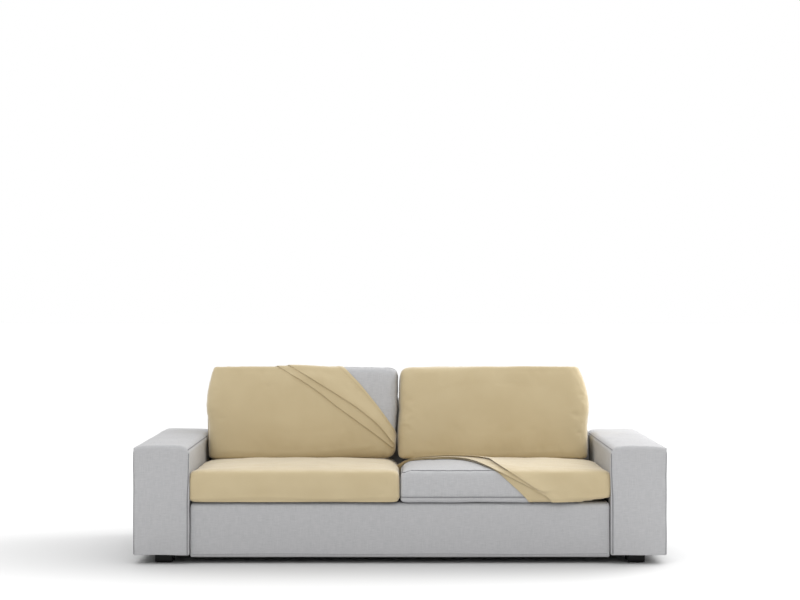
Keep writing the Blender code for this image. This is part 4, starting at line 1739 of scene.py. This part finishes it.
class FramePart:
    """A block of the frame: an outline run along X or Y, with soft ends, under tight cloth."""

    name: str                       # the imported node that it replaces

    def relief(self, points: Array) -> Array:
        """Height of the cloth over the plain block."""
        raise NotImplementedError

    def block(self, outline: Array, reach: float, run: Run, edges: Pair,
              finishes: Finishes) -> Item:
        """Make the block, dark lining underneath.

        Args:
            outline: Section points.
            reach: Half its length.
            run: Which way it is run.
            edges: Radius of its end edges at the sides and below, and at the top.
            finishes: The set's materials.

        Returns:
            The block.
        """
        high, low = outline.max(axis=0), outline.min(axis=0)
        middle, half = (high + low) / 2, (high - low) / 2

        def drawn_in(place: float) -> Array:
            """Half sizes of the section at a distance from the block's end.

            Args:
                place: The distance.

            Returns:
                The half sizes.
            """
            side, top = [edge - math.sqrt(max(edge ** 2 - max(edge - place, 0.0) ** 2, 0.0))
                         for edge in edges]
            return half - stacked(side, np.where(outline[:, 1] > middle[1], top, side))

        deep = max(edges)
        places = [deep * (1 - math.cos(turn)) ** 1.3 for turn in np.radians(np.linspace(0, 90, 9))]
        places += np.arange(deep + FRAME_PITCH, reach, FRAME_PITCH).tolist()
        steps = [(0.0, share * drawn_in(0.0)) for share in np.linspace(0.02, 1.0, 17)[:-1]]
        steps += [(place, drawn_in(place)) for place in places]
        rings = []
        for place, size in [(place - reach, size) for place, size in steps] + [
                (reach - place, size) for place, size in steps[::-1]]:
            across, up = (middle + (outline - middle) * size / half).T
            flat = (place, across) if run is Run.ACROSS else (across, place)
            rings.append(stacked(*flat, up))
        points = np.array(rings)
        item = mesh_object(self.name + "_upholstery", points, shut(numbered(points), False),
                           [finishes.body, finishes.lining], 60.0)
        push_out(item, self.relief(read(item.data.vertices, "co")))
        for polygon in item.data.polygons:
            polygon.material_index = 1 if polygon.normal.z < -0.9 else 0
        lay_cloth(item)
        return item


@dataclass
class Arm(FramePart):
    """One wide arm: a crowned strip over front, top and back, welted to two side panels.

    Attributes:
        side: -1 left, +1 right.
        outer_top: Height at the outer edge.
        inner_top: Height at the inner edge, before its rounding.
        crown: How far the middle stands over its edges.
        fill: How far the edges fill up towards the rear.
        creases: Soft cross folds on top: Y, skew, depth and width.
        slack: How far the soft inner panel is pressed in by the cushions.
        full: How far the outer panel stands proud.
        bottom: Height of its lower edge.
        rounds: Reach and drop of its outer and inner top edges.
    """

    side: float
    outer_top: float
    inner_top: float
    crown: float
    fill: float
    creases: tuple[tuple[float, float, float, float], ...]
    slack: float = 0.0040
    full: float = 0.0045
    bottom: float = 0.0373
    rounds: tuple[Pair, Pair] = ((0.008, 0.006), (0.030, 0.022))

    @property
    def name(self) -> str:
        """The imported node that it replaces."""
        return "arm_right" if self.side > 0 else "arm_left"

    def top(self, share: Array | float) -> tuple[Array, Array]:
        """Place and height of the top from the outer edge, 0, to the inner edge, 1.

        Args:
            share: Where across the top.

        Returns:
            The places across and the heights.
        """
        z = self.outer_top + (self.inner_top - self.outer_top) * share
        z = z + self.crown * (1.0 - np.abs(2.0 * share - 1.0) ** 3)
        for (reach, drop), away in zip(self.rounds, (share, 1.0 - share)):
            turn = np.clip((reach - away * ARM_WIDTH) / reach, 0.0, 1.0)
            z = z - drop * (1.0 - np.sqrt(1.0 - turn ** 2))
        outer, inner = SOFA_WIDTH / 2 + self.full, SEAT_SPAN + self.slack
        return outer + (inner - outer) * share, z

    def relief(self, points: Array) -> Array:
        """Height of the cloth: soft cross folds on top, uneven edges, slack panels.

        Args:
            points: Points in the sofa.

        Returns:
            The heights.
        """
        x, y, z = np.abs(points[:, 0]), points[:, 1], points[:, 2]
        edge = SOFA_WIDTH / 2
        total = Ripples(0.0011, 0.17, 11 if self.side > 0 else 12).at(points)
        total *= np.where(x > edge, 0.5, 1.0)
        total -= 0.0012 * (z < self.bottom + 0.001) + 0.0008 * (x < edge - 0.02) * (z < 0.45)
        middle = np.abs((x - edge) / ARM_WIDTH * 2 + 1)
        top = ease((z - 0.465) / 0.03) * ease((edge - x) / 0.02)
        total += top * self.fill * ease((y + 0.3) / 0.6) * np.clip(middle, 0, 1) ** 2
        for place, skew, depth, width in self.creases:
            line = y - place - skew * (x - 1.02) - 0.012 * np.sin(14.0 * x)
            total += top * depth * (0.7 * hump(line + 1.5 * width, width) - hump(line, width))
        return total

    def build(self, finishes: Finishes, piping: LineDetail) -> list[Item]:
        """Make the arm and its welts.

        Args:
            finishes: The set's materials.
            piping: What sews its piping.

        Returns:
            The arm, then its welts.
        """
        half, low, soft = SOFA_DEPTH / 2, self.bottom, 0.004
        bend = np.linspace(0.0, 1.0, 9) ** 2
        share = np.unique(np.concatenate([bend * 0.035, np.linspace(0.06, 0.86, 19), 1.0 - bend *
                                          0.125, 1.0 - np.linspace(0, 1, 6) ** 2 * 0.02]))
        (outer, inner), _ = self.top(np.array([0.0, 1.0]))
        foot = [(inner, low + soft), (inner + soft, low), (outer - soft, low), (outer, low + soft)]
        outline = spread_outline(foot + list(zip(*self.top(share))), 0.011) * [self.side, 1.0]
        item = self.block(outline, half, Run.DEEP, (0.006, 0.018), finishes)
        welts = []
        for edge, near, place in ((inner, inner + 0.009, 0.975), (outer, outer - 0.0008, 0.003)):
            x, z = self.top(place)
            rise = np.linspace(low + 0.006, z - 0.020, 120)
            way = near + (edge - near) * ease((rise - 0.25) / 0.22)
            run = np.linspace(0.010 - half, half - 0.010, 200)
            path = np.concatenate([stacked(way, -half, rise), stacked(x, run, z),
                                   stacked(way[::-1], half, rise[::-1])]) * [self.side, 1, 1]
            welts.append(seam(path, item, depth=1.6, width=4.5, lift=0.5))
        # The welts are in the darkened piping cloth: painted shade along the arm's seams.
        return [item, piping.sew(self.name + "_welts", welts, False, PIPE_RADIUS, WELT_STEP,
                                 finishes.piping)]


@dataclass
class Base(FramePart):
    """The rail and deck under the seat cushions, between the arms."""

    name: str = "seat_base"
    bottom: float = 0.028
    front: float = -0.4530
    lip: Pair = (0.030, 0.021)
    hem: float = 0.013

    def relief(self, points: Array) -> Array:
        """Height of the cloth: a slack rail with soft dents.

        Args:
            points: Points in the sofa.

        Returns:
            The heights.
        """
        dents = Ripples(0.0012, 0.24, 21, (2.0, 1.0, 1.0)).at(points)
        under = points[:, 2] < self.bottom + 0.001
        return ease((-points[:, 1] - 0.43) / 0.02) * np.where(under, 0.4 * dents, dents)

    def build(self, finishes: Finishes, piping: LineDetail) -> list[Item]:
        """Make the base and the seam above its lower edge.

        Args:
            finishes: The set's materials.
            piping: What sews its piping.

        Returns:
            The base, then its seam.
        """
        reach, rear = SEAT_SPAN + 0.0025, SEAT_REAR - CLEARANCE
        (depth, drop), soft = self.lip, 0.005
        lip = [(self.front + depth + depth * x, DECK_HEIGHT - drop + drop * z)
               for x, z in arc((0, 0), 1, 180, 90, 10)]
        outline = [(self.front, self.bottom + soft), *lip, (rear, DECK_HEIGHT),
                   (rear, self.bottom), (self.front + soft, self.bottom)]
        item = self.block(spread_outline(outline, 0.014), reach, Run.ACROSS, (0.006, 0.010),
                          finishes)
        across = np.linspace(0.010 - reach, reach - 0.010, 300)
        sway = 0.0015 * np.sin(9.0 * across)
        path = seam(stacked(across, self.front, sway + self.bottom + self.hem), item,
                    depth=1.8, width=3.5, lift=-0.2)
        # The seam's cord is the darkened piping cloth: painted shade along its groove.
        return [item, piping.sew(self.name + "_hem_seam", [path], False, 0.8 * MM, WELT_STEP,
                                 finishes.piping)]


@dataclass
class BackFrame(FramePart):
    """The upholstered frame behind the cushions: upright below the seat, leaning above it."""

    name: str = "back_frame"
    bottom: float = 0.028
    height: float = 0.66
    radius: float = 0.03

    def rear_plane_y(self, z: float) -> float:
        """Y of the leaning plane that the covered back cushions rest against.

        Args:
            z: Height in the sofa.

        Returns:
            The plane's Y at that height.
        """
        depth = BACK_REAR + COVER_GAP + CLOTH + REAR_GAP
        foot_y = BACK_Y + depth * math.cos(BACK_LEAN)
        foot_z = BACK_Z - depth * math.sin(BACK_LEAN)
        return foot_y + (z - foot_z) * math.tan(BACK_LEAN)

    def relief(self, points: Array) -> Array:
        """Height of the cloth: the rear panel is slightly slack between its edges."""
        dents = Ripples(0.0010, 0.20, 31).at(points)
        return ease((points[:, 1] - 0.45) / 0.02) * (dents - 0.0015)

    def build(self, finishes: Finishes, piping: LineDetail) -> list[Item]:
        """Make the back frame, its top drawn in from the arms, and the welt of its rear panel.

        Args:
            finishes: The set's materials.
            piping: What sews its piping.

        Returns:
            The back frame, then its welt.
        """
        reach, rear, radius = SEAT_SPAN - CLEARANCE, SOFA_DEPTH / 2, self.radius
        turn_z = (SEAT_REAR - self.rear_plane_y(0.0)) / math.tan(BACK_LEAN)
        shoulder = self.height - radius
        top_y = self.rear_plane_y(shoulder + radius * math.sin(BACK_LEAN))
        outline = [(SEAT_REAR, self.bottom), (SEAT_REAR, turn_z),
                   *arc((top_y + radius * math.cos(BACK_LEAN), shoulder), radius,
                        180 - math.degrees(BACK_LEAN), 90, 9),
                   *arc((rear - radius, shoulder), radius, 90, 0, 9), (rear, self.bottom)]
        item = self.block(spread_outline(outline, 0.014), reach, Run.ACROSS, (0.007, 0.012),
                          finishes)
        points = read(item.data.vertices, "co")
        near = np.clip((points[:, 2] - self.height + 0.05) / 0.05, 0.0, 1.0)
        points[:, 0] *= 1.0 - 0.022 * ease((points[:, 2] - 0.50) / 0.03) - 0.020 * (
            1.0 - np.sqrt(1.0 - 0.98 * near ** 2))
        move(item, points)
        across = np.linspace(-0.955, 0.955, 260) * reach
        path = seam(stacked(across, rear - 0.006, shoulder + 0.016), item, depth=1.2, width=4.0,
                    lift=0.6)
        # The welt is in the darkened piping cloth: painted shade along its seam.
        return [item, piping.sew(self.name + "_welt", [path], False, 1.9 * MM, WELT_STEP,
                                 finishes.piping)]


@dataclass
class Feet:
    """Four moulded block feet with softened edges and a glide pad underneath."""

    side: float = 0.075
    x: float = 1.02
    y: float = 0.387
    bevel: float = 0.003
    profile: tuple[Pair, ...] = (   # heights of its rings, each with how far it is drawn in
        (0.0, 0.0065), (0.0008, 0.006), (0.0028, 0.006), (0.003, 0.003), (0.0036, 0.0012),
        (0.0048, 0.0003), (0.006, 0.0), (0.036, 0.0), (0.037, 0.0008))

    def build(self, finishes: Finishes) -> dict[str, Item]:
        """Make the feet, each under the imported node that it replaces.

        Args:
            finishes: The set's materials.

        Returns:
            The feet by node.
        """
        half = self.side / 2
        corner = np.array(arc([half - self.bevel] * 2, self.bevel, 0, 90, 5))
        loop = np.concatenate([corner, (corner * [1, -1])[::-1], corner * [-1, -1],
                               (corner * [-1, 1])[::-1]])
        plain = np.array([stacked(*(loop * (1 - inset / half)).T, z) for z, inset in self.profile])
        made = {}
        for row, y in (("front", -self.y), ("rear", self.y)):
            for side, x in (("left", -self.x), ("right", self.x)):
                node = f"foot_{row}_{side}"
                made[node] = mesh_object(node + "_moulding", plain + [x, y, 0.0],
                                         shut(numbered(plain), False), [finishes.foot], 30.0)
        return made


# ---------------------------------------------------------------- studio
@dataclass(frozen=True)
class Lamp:
    """A soft lamp: a sun by its direction, or a wide panel by its place."""

    name: str
    strength: float                 # watts, or watts a square metre for a sun
    width: float                    # degrees of a sun, metres of a panel
    place: Point
    panel: bool = False

    def build(self) -> None:
        """Hang the lamp, turned to the sofa."""
        light = bpy.data.lights.new(self.name, "AREA" if self.panel else "SUN")
        light.energy = self.strength
        if self.panel:
            light.size = self.width
        else:
            light.angle = math.radians(self.width)
        lamp = linked(self.name, light)
        lamp.location = self.place
        aim = Vector((0.0, 0.0, 0.4)) - Vector(self.place)
        lamp.rotation_euler = aim.to_track_quat("-Z", "Y").to_euler()
        lamp.visible_camera = False


@dataclass(frozen=True)
class Studio:
    """Pale floor, soft light from a bright ceiling and the camera."""

    lamps: tuple[Lamp, ...] = (Lamp("overhead_sun", 0.22, 60.0, (0.3, -0.3, 4.0)),
                               Lamp("front_sun", 0.56, 50.0, (-1.4, -4.0, 3.0)),
                               Lamp("right_panel", 84.0, 2.5, (3.0, 1.2, 1.9), panel=True))
    ceiling: float = 1.04           # brightness straight up, at the horizon and behind the sofa
    horizon: float = 0.54
    backdrop: float = 1.1
    camera_place: Point = (0.0, -7.725, 1.154)
    lens: float = 36.0 * 1691 / 800
    shift_y: float = (295.4 - 300) / 800
    floor: float = 60.0

    def build(self, finishes: Finishes) -> None:
        """Set up the floor, the lamps, the world and the camera.

        Args:
            finishes: The set's materials.
        """
        scene = bpy.context.scene
        scene.view_settings.view_transform = "Standard"
        mesh = bpy.data.meshes.new("studio_floor")
        mesh.from_pydata([(x * self.floor, y * self.floor, 0)
                          for x, y in ((-1, -1), (1, -1), (1, 1), (-1, 1))], [], [(0, 1, 2, 3)])
        mesh.materials.append(finishes.floor)
        linked("studio_floor", mesh)
        for lamp in self.lamps:
            lamp.build()
        self.light_world(scene)
        lens = bpy.data.cameras.new("photo_camera")
        lens.sensor_width, lens.lens, lens.shift_y = 36.0, self.lens, self.shift_y
        camera = scene.camera = linked("photo_camera", lens)
        camera.location = self.camera_place
        camera.rotation_euler = (math.radians(90.0), 0.0, 0.0)

    def light_world(self, scene: bpy.types.Scene) -> None:
        """White round the camera's view, a ceiling brighter than the walls for the light.

        Args:
            scene: The scene that it lights.
        """
        world = scene.world = bpy.data.worlds.new("white_studio")
        world.use_nodes = True
        nodes = Nodes(world.node_tree)
        way = nodes.add("ShaderNodeTexCoord", out="Object")
        _, back, up = nodes.add("ShaderNodeSeparateXYZ", None, way).node.outputs
        smooth = {"interpolation_type": "SMOOTHSTEP"}
        glow = nodes.add("ShaderNodeMapRange", smooth, up, 0.0, 0.9, self.horizon, self.ceiling)
        wall = nodes.add("ShaderNodeMapRange", smooth, back, 0.2, 1.0, 0.0, self.backdrop)
        white = (1.0, 1.0, 1.0, 1.0)
        soft, shown = (nodes.add("ShaderNodeBackground", None, white, strength)
                       for strength in (nodes.math("ADD", glow, wall), 1.0))
        nodes.end("ShaderNodeOutputWorld", nodes.add(
            "ShaderNodeMixShader", None, nodes.add("ShaderNodeLightPath"), soft, shown))


# ---------------------------------------------------------------- the whole scene
def hand_in(item: Item, slot: str, *nodes: str) -> None:
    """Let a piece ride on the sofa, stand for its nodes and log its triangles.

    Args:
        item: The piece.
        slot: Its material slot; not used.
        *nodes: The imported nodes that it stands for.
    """
    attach(item, BODY)
    if nodes:
        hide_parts(*nodes)
    item.data.calc_loop_triangles()
    LOG.info("%s: %d triangles", item.name, len(item.data.loop_triangles))


def main() -> None:
    """Build every piece in order."""
    logging.basicConfig(level=logging.INFO, format="%(name)s %(message)s")
    finishes = Finishes()
    piping, stitches = LineDetail(Repeat.PIPING), LineDetail(Repeat.STITCHES)

    arms = (Arm(-1.0, 0.5005, 0.4980, 0.0120, 0.006,
                ((-0.33, 0.10, 0.0045, 0.020), (-0.08, -0.15, 0.0055, 0.022),
                 (0.19, 0.12, 0.0045, 0.020), (0.31, 0.05, 0.0050, 0.018))),
            Arm(1.0, 0.4990, 0.4985, 0.0090, 0.003,
                ((-0.25, -0.10, 0.0028, 0.030), (0.10, 0.15, 0.0032, 0.030))))
    for part in (*arms, Base(), BackFrame()):
        item, trim = part.build(finishes, piping)
        hand_in(item, "frame_cloth", part.name)
        hand_in(trim, "frame_cloth")
    for node, item in Feet().build(finishes).items():
        hand_in(item, "foot", node)

    caps = {"seat": (SEAT_SEAMS, 1.2 * MM), "back": (BACK_SEAMS, 1.8 * MM)}
    given = {}
    for number, (name, form) in enumerate(FORMS.items()):
        seams, cap = caps[name[:4]]
        given[name] = form, Lie(form, seams, 41 + number, cap)
    for cushion in (
            Cushion("seat_cushion_right", *given["seat_right"], SEAT_SEAMS, SEAT_EDGES["hem"],
                    1.0, FINE),
            Cushion("back_cushion_left", *given["back_left"], BACK_SEAMS, BACK_EDGES["hem"],
                    -1.0, FINE),
            Cushion("seat_cushion_left", *given["seat_left"]),
            Cushion("back_cushion_right", *given["back_right"])):
        item, *trims = cushion.build(finishes, piping)
        hand_in(item, "cushion_cloth", cushion.name)
        for trim in trims:
            hand_in(trim, "cushion_cloth")

    seat, back = (1.15, 1.10), (1.10, 1.05)
    for cover in (
            Cover("seat_cover_left", *given["seat_left"], seat, 1.10, Mouth.REAR),
            Cover("back_cover_right", *given["back_right"], back, 0.98, Mouth.LOW),
            HalfSeatCover("seat_cover_right", *given["seat_right"], seat, 0.9, Mouth.REAR,
                          SEAT_EDGES, 1.0),
            HalfBackCover("back_cover_left", *given["back_left"], back, 0.9, Mouth.CLOSED,
                          BACK_EDGES, -1.0, 56)):
        item, *sewn = cover.build(finishes, stitches)
        hand_in(item, "cover_cloth", cover.name)
        for row in sewn:
            hand_in(row, "cover_cloth")

    Studio().build(finishes)


if __name__ == "__main__":
    main()
